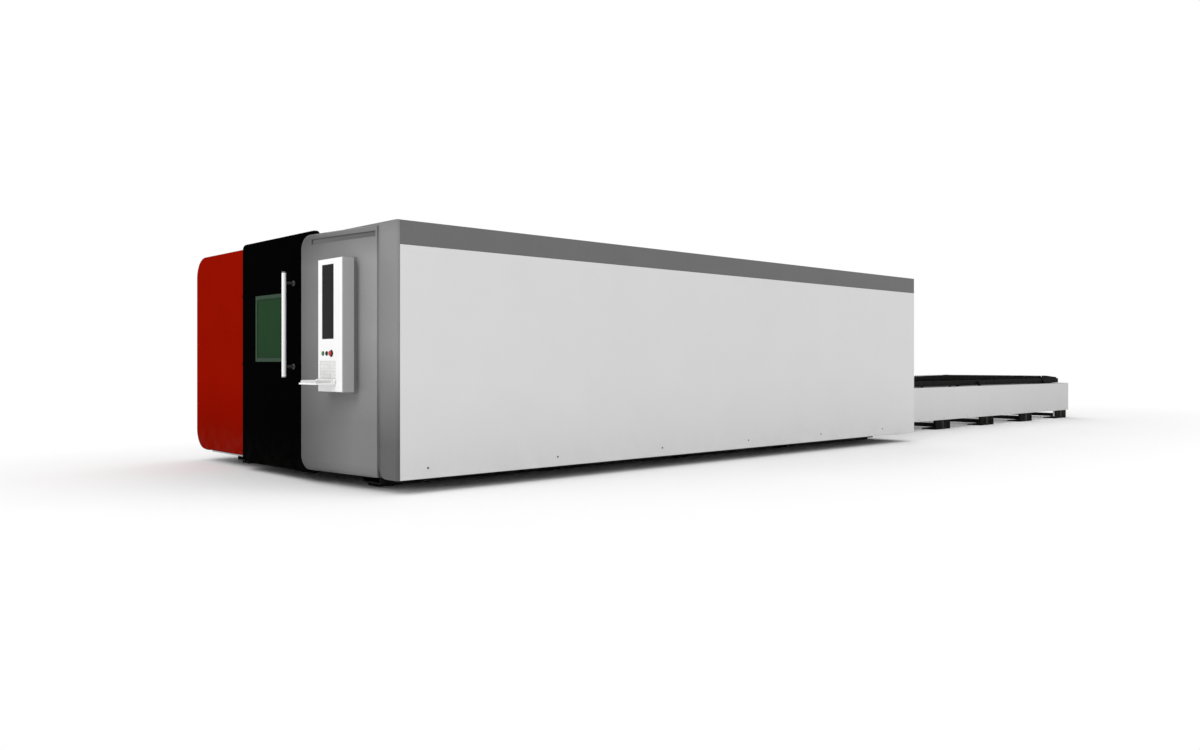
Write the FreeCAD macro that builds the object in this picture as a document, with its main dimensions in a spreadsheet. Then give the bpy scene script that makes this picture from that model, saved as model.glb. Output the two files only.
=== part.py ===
import FreeCAD, Part
import os
import re
import Sketcher

# Enclosed laser cutting machine with a two-deck pallet exchange table.
# Row frame: +X is the right side seen from the front, +Y runs from the front door to the exchange
# table, +Z is up. The origin is on the floor under the middle of the whole machine. Millimetres.

doc = FreeCAD.newDocument("laser_cutting_machine")
vector = FreeCAD.Vector

# ---------------------------------------------------------------- driving dimensions

DIMENSIONS = {
    # enclosure
    "enclosure_width": 4100, "enclosure_length": 8050, "enclosure_top": 2204,
    "panel_bottom": 120, "band_bottom": 2008, "roof_top": 2160,
    "skin": 3, "fold_radius": 6, "pan_depth": 40, "corner_return": 27,
    "frame_tube": 80, "floor_plate": 6, "roof_pans": 4, "post_rows": 5,
    # front portal
    "front_depth": 80, "column_width": 284, "header_height": 63, "groove_height": 45, "header_beam": 80,
    "groove_depth": 12, "groove_start": 190, "groove_end": 20, "sill_height": 115,
    "sill_setback": 40, "mullion": 90,
    "doorway_inset": 61, "doorway_width": 1400, "column_lip": 40,
    "portal_round": 220, "column_round": 110, "corner_round": 25,
    # red and grey front panels
    "red_lap": 51, "red_depth": 30, "red_rise": 7, "red_edge": 20,
    "bulge_width": 1111, "bulge_left": 140, "bulge_right": 15, "bulge_crown": 10, "bulge_drop": 14,
    "bulge_round": 130, "bulge_edge": 30, "wrap_width": 220, "wrap_gap": 5,
    # front door
    "door_lap": 195, "door_width": 1541, "door_bottom": 85, "door_top": 2230,
    "door_back": 45, "door_depth": 50, "door_round": 60, "door_edge": 22, "door_rib": 30,
    "window_inset": 326, "window_width": 607, "window_bottom": 1072, "window_height": 631,
    "window_border": 34, "window_proud": 4, "glass_thickness": 6,
    "handle_inset": 1136, "handle_reach": 190, "handle_radius": 20, "handle_bottom": 930,
    "handle_length": 950, "standoff_inset": 98, "standoff_radius": 13,
    # door rail, hangers and lower guide
    "rail_width": 35, "rail_height": 25, "rail_setback": 130, "rail_lap": 50,
    "rail_end_gap": 90, "guide_bar_start": 30, "guide_bar_end": 60,
    "hanger_width": 240, "hanger_plate": 12, "hanger_inset": 150, "hanger_drop": 110,
    "header_gap": 4, "hanger_flange": 20, "hanger_offset": 8, "running_gap": 0.4,
    "guide_bar": 10, "guide_bar_height": 20,
    "guide_setback": 45, "fork_gap": 2, "shoe_width": 120, "shoe_plate": 10, "shoe_gap": 8,
    # operator console
    "console_inset": 918, "console_width": 415, "console_depth": 110, "console_standoff": 100,
    "console_bottom": 820, "console_height": 1110, "console_edge": 8, "hinge_inset": 14,
    "hinge_pin": 6, "hinge_arm": 10, "pin_engagement": 20, "bracket_inset": 38, "bracket_gap": 0.5,
    "bezel_plate": 9, "boss_depth": 30, "boss_margin": 28, "counterbore": 12,
    "screen_left": 75, "screen_width": 200, "screen_bottom": 440, "screen_height": 623,
    "screen_recess": 6, "screen_thickness": 5, "pad_left": 35, "pad_width": 276,
    "pad_bottom": 108, "pad_height": 150, "pad_recess": 3,
    "button_height": 320, "start_at": 92, "feed_at": 158, "stop_at": 236, "button_radius": 16,
    "stop_radius": 21, "stop_reach": 20, "stop_cap": 12,
    "button_head": 8, "button_stem": 11, "button_sink": 5, "button_slack": 0.3,
    # folding keyboard tray
    "tray_left": 12, "tray_width": 300, "tray_length": 165, "tray_plate": 14, "tray_level": 62,
    "tray_axis_gap": 12, "tray_gap": 3, "keyboard_height": 18, "keyboard_margin": 16, "tray_ear": 10,
    "tray_pin": 4, "ear_radius": 9, "lug_width": 12, "lug_gap": 0.3,
    # machine bed
    "bed_inner": 1170, "bed_beam_width": 300, "bed_front": 190, "bed_rear": 90, "bed_top": 760,
    "bed_wall": 12, "pad_side": 160, "pad_thickness": 25, "bed_ties": 5,
    "tie_height": 150, "tie_width": 200, "tie_bottom": 148,
    "rail_lead": 410, "track_height": 20, "track_shelf": 10,
    # gantry
    "gantry_rail_width": 30, "gantry_rail_height": 28, "rack_width": 25, "rack_gap": 85,
    "gantry_park": 550, "carriage_length": 520, "carriage_width": 230,
    "carriage_plate": 32, "guide_block": 20, "block_length": 120, "beam_depth": 240, "beam_height": 260,
    "beam_wall": 10, "cross_rail": 20, "cross_rail_length": 2300, "rail_inset": 50, "motor_width": 100,
    "motor_height": 220, "pinion_radius": 28, "pinion_shaft": 12, "pinion_height": 20,
    "shaft_gap": 2,
    # cutting carriage and head
    "saddle_width": 320, "saddle_height": 420, "saddle_plate": 22, "saddle_gap": 3, "hook": 18,
    "cheek": 20, "cheek_depth": 155, "head_motor": 45, "nozzle_length": 60, "head_length": 240,
    "nozzle_tip": 5, "nozzle_root": 31.5, "collar_radius": 27,
    "clamp_low": 120, "clamp_high": 240, "clamp_height": 30, "clamp_side": 10,
    "head_motor_height": 160, "slide_rail": 15, "slide_width": 220,
    "slide_height": 280, "slide_plate": 25, "slide_shoe": 15, "head_rest": 870, "head_radius": 45,
    "head_reach": 85,
    # pallets
    "overall_reach": 15600, "top_tips": 820, "slat_rise": 57, "slat_height": 100,
    "slat_thickness": 6, "slat_pitch": 145, "slat_count": 43, "slat_teeth": 6,
    "tooth_depth": 28, "slat_end_gap": 5, "slat_ledge": 40, "pallet_half": 1030,
    "pallet_rail": 60, "pallet_rail_height": 80, "pallet_length": 6690, "first_slat": 75,
    "pallet_ties": 6, "pallet_tie_height": 25, "pallet_end_gap": 210, "shuttle_home": 1250,
    "deck_pitch": 250, "wheel_radius": 50, "wheel_width": 26, "wheel_gap": 4, "wheel_drop": 18,
    "wheel_clearance": 0.3, "axle_radius": 15, "axle_clearance": 0.3, "axle_inset": 700,
    # exchange table
    "deck_beam": 26, "deck_beam_height": 60, "lower_beam_height": 40, "ledge": 10,
    "deck_posts": 6, "deck_tie": 60, "deck_tie_height": 30,
    "table_half": 1140, "table_bar": 36, "chord_height": 20, "cover_bottom": 148,
    "cover_top": 672, "foot_width": 240, "foot_length": 480, "foot_plate": 20, "foot_first": 1000,
    "foot_last": 350, "foot_rows": 5, "table_post": 60, "cross_tie": 60, "tie_floor": 30,
    "guide_bar_width": 40, "guide_slack": 0.5, "guide_low": 100, "deck_gap": 10, "deck_inset": 100,
    "lower_chord": 6, "lower_chord_height": 40, "drive_width": 150, "drive_height": 120,
    "drive_radius": 20,
    "cylinder_radius": 14, "cylinder_bore": 9, "cylinder_bottom": 40, "cylinder_top": 340,
    "rod_radius": 8, "lug_height": 25, "rod_top": 605, "cylinder_gap": 10, "cylinder_seat": 1060,
    "cylinder_x": 1114,
    # rear gate
    "opening_half": 1120, "opening_bottom": 360, "opening_height": 500,
    "gate_half": 1165, "gate_height": 545, "gate_lift": 550, "gate_thickness": 15,
    "gate_setback": 65, "gate_clearance": 5, "channel_width": 40, "channel_gap": 0.3,
    "channel_leg": 10,
    # equipment in the side bays
    "bay_gap": 10, "cabinet_gap": 20, "source_length": 900, "source_height": 1150, "source_setback": 700,
    "electrical_length": 1600, "electrical_height": 1500, "electrical_setback": 1900,
    "duct_margin": 80, "duct_hole_gap": 3, "plenum_lip": 15, "duct_height": 300,
    "duct_length": 3300, "spigot_lip": 2, "spigot_height": 40,
    "scrap_height": 94, "scrap_half": 1000, "scrap_count": 4, "tray_space": 20,
    "chain_width": 60, "chain_depth": 40, "chain_bend": 75, "chain_length": 3000,
    "chain_bay": 60, "chain_gap": 2, "arm_thickness": 12,
}

# places worked out from the dimensions, in the row frame
LAYOUT = {
    "half_width": "enclosure_width / 2",
    "tray_reach": "console_standoff + console_depth + tray_axis_gap + tray_length",
    "front": "-(overall_reach - tray_reach) / 2",
    "rear": "front + enclosure_length",
    "table_end": "front + overall_reach",
    "frame_outer": "half_width - pan_depth",
    "frame_front": "front + front_depth",
    "frame_rear": "rear - pan_depth",
    "frame_length": "frame_rear - frame_front",
    "frame_bottom": "panel_bottom + 10",
    "frame_top": "roof_top - pan_depth",
    "post_pitch": "(frame_length - frame_tube) / (post_rows - 1)",
    "floor_top": "frame_bottom + frame_tube + floor_plate",
    "header_bottom": "enclosure_top - header_height",
    "groove_bottom": "header_bottom - groove_height",
    "bulge_x": "half_width - column_width - bulge_width",
    "bulge_top": "enclosure_top - bulge_drop",
    "door_left": "half_width + bulge_x + door_lap - door_width",
    "red_width": "door_left + red_lap",
    "doorway_left": "door_left + doorway_inset",
    "window_left": "door_left + window_inset",
    "handle_x": "door_left + handle_inset - half_width",
    "door_x": "door_left - half_width",
    "door_face": "front - door_back - door_depth",
    "door_height": "door_top - door_bottom",
    "rail_top": "roof_top + rail_height",
    "rail_middle": "front + rail_setback + rail_width / 2",
    "door_rail_length": "door_left + door_width - rail_end_gap + rail_lap",
    "console_x": "half_width - console_inset",
    "console_front": "front - console_standoff - console_depth",
    "console_back": "front - console_standoff",
    "tray_x": "console_x + tray_left",
    "tray_bottom": "console_bottom + tray_level",
    "tray_axis_z": "tray_bottom + tray_plate + keyboard_height + 2",
    "tray_axis_y": "console_front - tray_axis_gap",
    "button_z": "console_bottom + button_height",
    "bed_outer": "bed_inner + bed_beam_width",
    "bed_y": "front + bed_front",
    "bed_length": "enclosure_length - bed_front - bed_rear",
    "bed_tie_pitch": "(bed_length - tie_width) / (bed_ties - 1)",
    "gantry_rail_x": "bed_inner + bed_beam_width / 2",
    "rack_x": "gantry_rail_x + rack_gap",
    "gantry_y": "rear - gantry_park",
    "carriage_bottom": "bed_top + gantry_rail_height + running_gap",
    "beam_bottom": "carriage_bottom + carriage_plate",
    "beam_half": "gantry_rail_x + carriage_width / 2",
    "cross_rail_low": "beam_bottom + rail_inset",
    "cross_rail_high": "beam_bottom + beam_height - rail_inset - cross_rail",
    "motor_y": "gantry_y + beam_depth / 2 + arm_thickness",
    "pinion_x": "rack_x - pinion_radius - 1",
    "saddle_y": "gantry_y - beam_depth / 2 - cross_rail - saddle_gap",
    "saddle_bottom": "beam_bottom + 10",
    "slide_y": "saddle_y - saddle_plate - slide_rail - running_gap",
    "head_y": "slide_y - slide_plate - head_reach",
    "top_frame_top": "top_tips - slat_rise",
    "top_frame_bottom": "top_frame_top - pallet_rail_height",
    "top_rail": "top_frame_bottom - wheel_drop",
    "low_rail": "top_rail - deck_pitch",
    "axle_height": "wheel_radius - wheel_drop + wheel_clearance",
    "wheel_inner": "pallet_half + wheel_gap",
    "deck_inner": "wheel_inner + wheel_width + 4",
    "deck_outer": "deck_inner + deck_beam",
    "table_outer": "table_half - skin",
    "table_inner": "table_outer - table_bar",
    "pallet_rest": "table_end - pallet_end_gap - pallet_length",
    "shuttle_rest": "front + shuttle_home",
    "slat_inner": "pallet_half - pallet_rail",
    "axle_pitch": "(pallet_length - axle_inset * 2) / 2",
    "deck_front": "rear + deck_gap",
    "deck_length": "table_end - deck_inset - deck_front",
    "deck_post_pitch": "(deck_length - deck_tie) / (deck_posts - 1)",
    "foot_y": "rear + foot_first",
    "foot_pitch": "(table_end - foot_last - foot_y) / (foot_rows - 1)",
    "cylinder_offset": "foot_length / 2 + cylinder_gap + table_post / 2",
    "gate_y": "rear - gate_setback",
    "gate_bottom": "opening_bottom + gate_lift - 20",
    "bay_width": "frame_outer - frame_tube - bed_outer",
    "cabinet_depth": "bay_width - bay_gap - cabinet_gap",
    "duct_radius": "bay_width / 2 - duct_margin",
    "duct_width": "(duct_radius + plenum_lip) * 2",
    "duct_x": "-(bed_outer + bay_width / 2)",
    "duct_y": "frame_rear - frame_tube - duct_radius - 200",
}

dimensions = doc.addObject("Spreadsheet::Sheet", "Dimensions")
layout = doc.addObject("Spreadsheet::Sheet", "Layout")


def words(expression):
    """Each known name in a size expression becomes its cell."""
    def cell(found):
        name = found.group(0)
        if name in DIMENSIONS:
            return "Dimensions." + name
        return "Layout." + name if name in LAYOUT else name
    return re.sub(r"[a-z]\w+", cell, str(expression))


for row, (name, value) in enumerate(DIMENSIONS.items(), 1):
    dimensions.set(f"A{row}", name.replace("_", " "))
    dimensions.set(f"B{row}", str(value))
    dimensions.setAlias(f"B{row}", name)
doc.recompute()
for row, (name, formula) in enumerate(LAYOUT.items(), 1):
    layout.set(f"A{row}", name.replace("_", " "))
    layout.set(f"B{row}", "=" + words(formula).replace("Layout.", ""))
    layout.setAlias(f"B{row}", name)
    doc.recompute()


def mm(name):
    """The number in a named cell."""
    return float((dimensions if name in DIMENSIONS else layout).get(name))


def whole(name):
    return int(round(mm(name)))


# ---------------------------------------------------------------- helpers for pieces

def add(kind, label=None):
    piece = doc.addObject(kind, label or "block")
    if label:
        piece.Label = label
    return piece


def place(piece, corner):
    for axis, text in zip("xyz", corner):
        piece.setExpression(f"Placement.Base.{axis}", words(text))


def box(corner, size, label=None):
    """A box from its low corner and its size, each as three expressions."""
    piece = add("Part::Box", label)
    for side, text in zip(("Length", "Width", "Height"), size):
        piece.setExpression(side, words(text))
    place(piece, corner)
    return piece


TURNS = {
    "x": FreeCAD.Rotation(vector(0, 1, 0), 90),
    "y": FreeCAD.Rotation(vector(1, 0, 0), -90),
    "z": FreeCAD.Rotation(),
}


def rod(centre, radius, length, along="z", label=None):
    """A cylinder from the centre of its low end, along one axis."""
    piece = add("Part::Cylinder", label)
    piece.Placement.Rotation = TURNS[along]
    piece.setExpression("Radius", words(radius))
    piece.setExpression("Height", words(length))
    place(piece, centre)
    return piece


def cone(centre, radius_low, radius_high, length):
    piece = add("Part::Cone")
    piece.setExpression("Radius1", words(radius_low))
    piece.setExpression("Radius2", words(radius_high))
    piece.setExpression("Height", words(length))
    place(piece, centre)
    return piece


def fuse(pieces, label=None):
    joined = add("Part::MultiFuse", label)
    joined.Shapes = pieces
    joined.Refine = True
    return joined


def group(pieces, label):
    """Several separate solids in one node."""
    together = add("Part::Compound", label)
    together.Links = pieces
    return together


def cut(base, tools, label=None):
    result = add("Part::Cut", label)
    result.Base = base
    result.Tool = tools[0] if len(tools) == 1 else fuse(tools)
    return result


def mirrored(piece, label=None):
    """The same piece on the other side of the machine's middle plane."""
    other = add("Part::Mirroring", label)
    other.Source = piece
    other.Normal = vector(1, 0, 0)
    return other


def rectangle(body, plane, corner, size, name):
    """A sketched rectangle on one of the body's own planes; a corner of None is the body's origin."""
    sketch = body.newObject("Sketcher::SketchObject", name)
    support = next(o for o in body.Origin.OriginFeatures if o.Role == plane)
    sketch.AttachmentSupport = (support, [""])
    sketch.MapMode = "FlatFace"
    start = 0 if corner is None else 5
    side = 45
    points = [vector(start, start, 0), vector(start + side, start, 0),
              vector(start + side, start + side, 0), vector(start, start + side, 0)]
    for i in range(4):
        sketch.addGeometry(Part.LineSegment(points[i], points[(i + 1) % 4]), False)
    for i in range(4):
        sketch.addConstraint(Sketcher.Constraint("Coincident", i, 2, (i + 1) % 4, 1))
        sketch.addConstraint(Sketcher.Constraint("Horizontal" if i % 2 == 0 else "Vertical", i))
    sizes = [("DistanceX", (0, 1, 0, 2), "wide", size[0], side),
             ("DistanceY", (1, 1, 1, 2), "high", size[1], side)]
    if corner is None:
        sketch.addConstraint(Sketcher.Constraint("Coincident", 0, 1, -1, 1))
    else:
        sizes += [("DistanceX", (-1, 1, 0, 1), "from_left", corner[0], start),
                  ("DistanceY", (-1, 1, 0, 1), "from_below", corner[1], start)]
    for kind, ends, title, text, value in sizes:
        index = sketch.addConstraint(Sketcher.Constraint(kind, *ends, value))
        sketch.renameConstraint(index, title)
        sketch.setExpression("Constraints." + title, words(text))
    return sketch


def pad(body, sketch, length, reverse=False):
    feature = body.newObject("PartDesign::Pad", "pad")
    feature.Profile = sketch
    feature.Reversed = reverse
    feature.setExpression("Length", words(length))
    doc.recompute()
    return feature


def pocket(body, sketch, length=None, reverse=False):
    """A cut into the solid; with no length it runs through all of it."""
    before = body.Shape.Volume
    feature = body.newObject("PartDesign::Pocket", "pocket")
    feature.Profile = sketch
    feature.Reversed = reverse
    if length is None:
        feature.Type = "ThroughAll"
        feature.Midplane = True
    else:
        feature.setExpression("Length", words(length))
    doc.recompute()
    if body.Shape.Volume > before - 1:
        raise RuntimeError(f"{body.Label}: a pocket removed nothing")
    return feature


def names_where(kind, shape, test):
    """EdgeN or FaceN for each edge or face whose bounding box passes the test."""
    pieces = shape.Edges if kind == "Edge" else shape.Faces
    return [f"{kind}{i}" for i, piece in enumerate(pieces, 1) if test(piece.BoundBox)]


def round_edges(body, radius, test):
    base = body.Tip
    feature = body.newObject("PartDesign::Fillet", "round")
    feature.Base = (base, names_where("Edge", base.Shape, test))
    feature.setExpression("Radius", words(radius))
    doc.recompute()
    return feature


def flat(bounds, axis, value):
    """True where an edge or face lies in the plane axis = value."""
    low, high = getattr(bounds, axis + "Min"), getattr(bounds, axis + "Max")
    return abs(low - value) < 0.01 and abs(high - value) < 0.01


def deep_edge(bounds, plane, value):
    """True for the straight edges of a pan's depth that lie at a given place across its width."""
    if plane == "XZ_Plane":
        return flat(bounds, "X", value) and bounds.YLength > 1 and bounds.ZLength < 0.01
    return flat(bounds, "Y", value) and bounds.XLength > 1 and bounds.ZLength < 0.01


def pan_form(label, plane, size, depth, reverse, corners, edge, holes, inset):
    """Solid block of a pan, moved inward on all its closed sides by an inset expression."""
    body = add("PartDesign::Body", label)
    wide, high = (f"{side} - ({inset}) * 2" for side in size)
    start = None if inset == "0" else (inset, inset)
    pad(body, rectangle(body, plane, start, (wide, high), "outline"), f"{depth} - ({inset})", reverse)
    less = mm("skin") if inset != "0" else 0
    for radius, value in corners:
        place_across = value + less if value == 0 else value - less
        round_edges(body, f"{radius} - ({inset})", lambda b: deep_edge(b, plane, place_across))
    for (x, z), (hole_wide, hole_high) in holes:
        pocket(body, rectangle(body, plane, (f"{x} - ({inset})", f"{z} - ({inset})"),
                               (f"{hole_wide} + ({inset}) * 2", f"{hole_high} + ({inset}) * 2"), "hole"))
    across = {"XZ_Plane": "Y", "YZ_Plane": "X", "XY_Plane": "Z"}[plane]
    bounds = body.Shape.BoundBox
    skin = max(getattr(bounds, across + "Min"), getattr(bounds, across + "Max"), key=abs)
    outline = [bounds.XMin, bounds.XMax, bounds.YMin, bounds.YMax, bounds.ZMin, bounds.ZMax]

    def on_outline(b):
        reach = (b.XMin, b.XMax, b.YMin, b.YMax, b.ZMin, b.ZMax)
        touching = sum(abs(mine - theirs) < 0.01 for mine, theirs in zip(reach, outline))
        return flat(b, across, skin) and touching >= 2
    round_edges(body, f"{edge} - ({inset})", on_outline)
    return body


def pan(label, plane, size, depth, corner, reverse=False, corners=(), edge="fold_radius", holes=()):
    """A folded pan: a flat skin whose four edges turn back by the depth, as do its holes' edges.

    corners lists (radius, place across the width) for outline corners that are rounded, and edge
    is the radius between the skin and its turned-back edges.
    """
    outside = pan_form(f"{label}_outside", plane, size, depth, reverse, corners, edge, holes, "0")
    inside = pan_form(f"{label}_inside", plane, size, depth, reverse, corners, edge, holes, "skin")
    for form in (outside, inside):
        place(form, corner)
    return cut(outside, [inside], label)


# ---------------------------------------------------------------- enclosure

def enclosure_frame():
    """Square-tube frame: posts, two rings, roof ties, outriggers to the bed, bay floors."""
    tube = "frame_tube"
    pieces = []
    for low in ("frame_bottom", "frame_top - frame_tube"):
        for x in ("frame_outer - frame_tube", "-frame_outer"):
            pieces.append(box((x, "frame_front", low), (tube, "frame_length", tube)))
    for i in range(whole("post_rows")):
        y = f"frame_front + {i} * post_pitch"
        for x in ("frame_outer - frame_tube", "-frame_outer"):
            pieces.append(box((x, y, "frame_bottom"), (tube, tube, "frame_top - frame_bottom")))
        for x in ("bed_outer", "-frame_outer"):
            pieces.append(box((x, f"max(frame_front + {i} * post_pitch; bed_y)", "frame_bottom"),
                              ("frame_outer - bed_outer", tube, tube)))
        pieces.append(box(("-frame_outer", y, "frame_top - frame_tube"), ("frame_outer * 2", tube, tube)))
    for x in ("bed_outer", "-frame_outer + frame_tube / 2"):
        pieces.append(box((x, "bed_y", "frame_bottom + frame_tube"),
                          ("frame_outer - frame_tube / 2 - bed_outer", "bed_length - bed_rear",
                           "floor_plate")))
    fuse(pieces, "enclosure_frame")


def wall_pans():
    """Long side sheets, the dark bands above them, the lowered roof and the rear wall."""
    height = "band_bottom - panel_bottom"
    band = "enclosure_top - band_bottom"
    right = ("enclosure_length - corner_return", "front + corner_return", "frame_outer", False)
    left = ("rear - frame_front", "frame_front", "-frame_outer", True)
    bands = []
    for name, (length, y, x, reverse) in (("right", right), ("left", left)):
        pan(f"{name}_side_panel", "YZ_Plane", (length, height), "pan_depth",
            (x, y, "panel_bottom"), reverse)
        bands.append(pan(f"{name}_band", "YZ_Plane", (length, band), "pan_depth",
                         (x, y, "band_bottom"), reverse))
    group(bands, "side_top_bands")
    roof = []
    for i in range(whole("roof_pans")):
        roof.append(pan(f"roof_pan_{i + 1}", "XY_Plane", ("frame_outer * 2", "frame_length / roof_pans"),
                        "pan_depth", ("-frame_outer", f"frame_front + {i} * frame_length / roof_pans",
                                      "frame_top")))
    hole = rod(("duct_x", "duct_y", "frame_top - 10"), "duct_radius + duct_hole_gap", "pan_depth + 20")
    roof[-1] = cut(roof[-1], [hole])
    group(roof, "roof_panels")
    pan("rear_wall", "XZ_Plane", ("frame_outer * 2", "enclosure_top - panel_bottom"), "pan_depth",
        ("-frame_outer", "frame_rear", "panel_bottom"), reverse=True,
        holes=[(("frame_outer - opening_half", "opening_bottom - panel_bottom"),
                ("opening_half * 2", "opening_height"))])


def front_frame():
    """Welded front portal: columns, header, mullions beside the doorway, set-back sill."""
    plane = "XZ_Plane"
    height = "enclosure_top - panel_bottom"
    width = "enclosure_width - column_width"
    plate = add("PartDesign::Body", "portal_plate")
    pad(plate, rectangle(plate, plane, None, (width, height), "outline"), "front_depth", reverse=True)
    round_edges(plate, "portal_round", lambda b: deep_edge(b, plane, 0))
    void_height = "groove_bottom - panel_bottom - sill_height - header_beam"
    right_start = "doorway_left + doorway_width + mullion"
    voids = [("column_width", "doorway_left - mullion - column_width"),
             ("doorway_left", "doorway_width"),
             (right_start, f"{width} - column_lip - ({right_start})")]
    for x, wide in voids:
        pocket(plate, rectangle(plate, plane, (x, "sill_height"), (wide, void_height), "void"))
    place(plate, ("-half_width", "front", "panel_bottom"))

    column = add("PartDesign::Body", "portal_column")
    pad(column, rectangle(column, plane, None, ("column_width", height), "outline"), "front_depth",
        reverse=True)
    round_edges(column, "column_round",
                lambda b: flat(b, "X", 0) and flat(b, "Z", 0) and b.YLength > 1)
    round_edges(column, "corner_round",
                lambda b: flat(b, "X", mm("column_width")) and flat(b, "Y", 0) and b.ZLength > 1)
    place(column, ("half_width - column_width", "front", "panel_bottom"))

    sill = box(("-half_width + column_width", "front", "panel_bottom"),
               ("enclosure_width - column_width * 2", "sill_setback", "sill_height"))
    flank = box(("half_width - pan_depth", "front + corner_return", "panel_bottom"),
                ("pan_depth", "front_depth", height))
    cut(fuse([plate, column]), [sill, flank], "front_frame")


def bulge_solid(inset, overshoot):
    """Form of the bulged panel, moved inward by an inset and run on past its open back."""
    left, right = mm("bulge_x") + inset, mm("bulge_x") + mm("bulge_width") - inset
    front = mm("front")
    back = front + overshoot
    lap = mm("door_face") - mm("wrap_gap") + overshoot
    step = mm("bulge_x") + mm("wrap_width") - overshoot
    outer_left = vector(left, front - mm("bulge_left") + inset, 0)
    outer_right = vector(right, front - mm("bulge_right") + inset, 0)
    middle = (outer_left + outer_right) / 2 - vector(0, mm("bulge_crown"), 0)
    corners = [outer_right, vector(right, back, 0), vector(step, back, 0), vector(step, lap, 0),
               vector(left, lap, 0), outer_left]
    edges = [Part.LineSegment(a, b).toShape() for a, b in zip(corners, corners[1:])]
    edges.append(Part.Arc(outer_left, middle, outer_right).toShape())
    low = mm("panel_bottom") + inset
    solid = Part.Face(Part.Wire(edges)).extrude(vector(0, 0, mm("bulge_top") - inset - low))
    solid.translate(vector(0, 0, low))
    sharp = [e for e in solid.Edges if flat(e.BoundBox, "X", left) and e.BoundBox.YLength > 1]
    solid = solid.makeFillet(mm("bulge_round") - inset, sharp)
    rim = front - mm("bulge_left") + inset
    outline = [e for e in solid.Edges if e.BoundBox.YMin < rim + 1 and e.BoundBox.ZMin < e.BoundBox.ZMax
               and e.BoundBox.XMax < left + mm("bulge_round") + 1 and e.BoundBox.YMax < lap - 1]
    return solid.makeFillet(mm("bulge_edge") - inset, outline)


def bulge_form(inset, overshoot):
    form = add("Part::Feature", "bulge_form")
    form.Shape = bulge_solid(inset, overshoot)
    return form


def groove_recess(grow, depth):
    """The part of a bar along the panel's top that lies less than a depth under its surface."""
    bar = box((f"bulge_x + groove_start - {grow}", "front - bulge_left * 2", f"groove_bottom - {grow}"),
              (f"bulge_width - groove_start - groove_end + {grow} * 2", "bulge_left * 2",
               f"groove_height + {grow} * 2"))
    return cut(bar, [bulge_form(depth, mm("skin"))])


def bulged_panel():
    """Grey panel: curved in plan, rounded at its free corners, grooved, lapping over the door."""
    skin = mm("skin")
    outside = bulge_form(0, 0)
    grooved = cut(outside, [groove_recess("0", mm("groove_depth"))])
    inside = cut(bulge_form(skin, skin), [groove_recess("skin", mm("groove_depth") + skin)])
    cut(grooved, [inside], "front_right_panel")
    return outside


def front_panels():
    front_frame()
    pan("front_left_panel", "XZ_Plane", ("red_width", "enclosure_top - panel_bottom - red_rise"),
        "red_depth", ("-half_width", "front", "panel_bottom + red_rise"),
        corners=[("portal_round", 0)], edge="red_edge")
    return bulged_panel()


# ---------------------------------------------------------------- front door

def front_door():
    width, height = mm("door_width"), "door_height"
    skin = pan("door_skin", "XZ_Plane", ("door_width", height), "door_depth",
               ("door_x", "front - door_back", "door_bottom"), edge="door_edge",
               corners=[("door_round", 0), ("door_round", width)],
               holes=[(("window_left - door_left", "window_bottom - door_bottom"),
                       ("window_width", "window_height"))])
    inner = "door_face + skin"
    parts = [skin]
    for z in ("window_bottom - door_rib - skin", "window_bottom + window_height + skin",
              "door_bottom + door_rib * 3"):
        parts.append(box(("door_x + skin", inner, z), ("door_width - skin * 2", "door_rib", "door_rib")))
    bar_front = "front + guide_setback - fork_gap - shoe_plate"
    bar_rear = "front + guide_setback + guide_bar + fork_gap"
    for x in ("hanger_inset", "door_width - hanger_inset - shoe_width"):
        start = f"door_x + {x}"
        parts.append(box((start, inner, "door_bottom + skin"),
                         ("shoe_width", f"{bar_rear} + shoe_plate - ({inner})", "shoe_plate")))
        for y in (bar_front, bar_rear):
            parts.append(box((start, y, "door_bottom + skin"),
                             ("shoe_width", "shoe_plate", "panel_bottom - shoe_gap - door_bottom - skin")))
    fuse(parts, "door_panel")

    border = "window_border"
    low_x, low_z = "window_left - half_width", "window_bottom"
    outer = box((low_x, "door_face - window_proud", low_z),
                ("window_width", "window_proud + glass_thickness * 2", "window_height"))
    inner_hole = box((f"{low_x} + {border}", "door_face - window_proud * 2", f"{low_z} + {border}"),
                     (f"window_width - {border} * 2", "window_proud * 2 + glass_thickness * 3",
                      f"window_height - {border} * 2"))
    cut(outer, [inner_hole], "window_frame")
    box((f"{low_x} + {border}", "door_face", f"{low_z} + {border}"),
        (f"window_width - {border} * 2", "glass_thickness", f"window_height - {border} * 2"), "window_glass")

    handle_y = "front - handle_reach"
    handle = rod(("handle_x", handle_y, "handle_bottom"), "handle_radius", "handle_length",
                 label="door_handle")
    posts = []
    for z in ("handle_bottom + standoff_inset", "handle_bottom + handle_length - standoff_inset"):
        post = rod(("handle_x", handle_y, z), "standoff_radius",
                   "handle_reach - door_back - door_depth", "y")
        posts.append(cut(post, [handle]))
    group(posts, "handle_standoffs")
    door_hanger()


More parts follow.
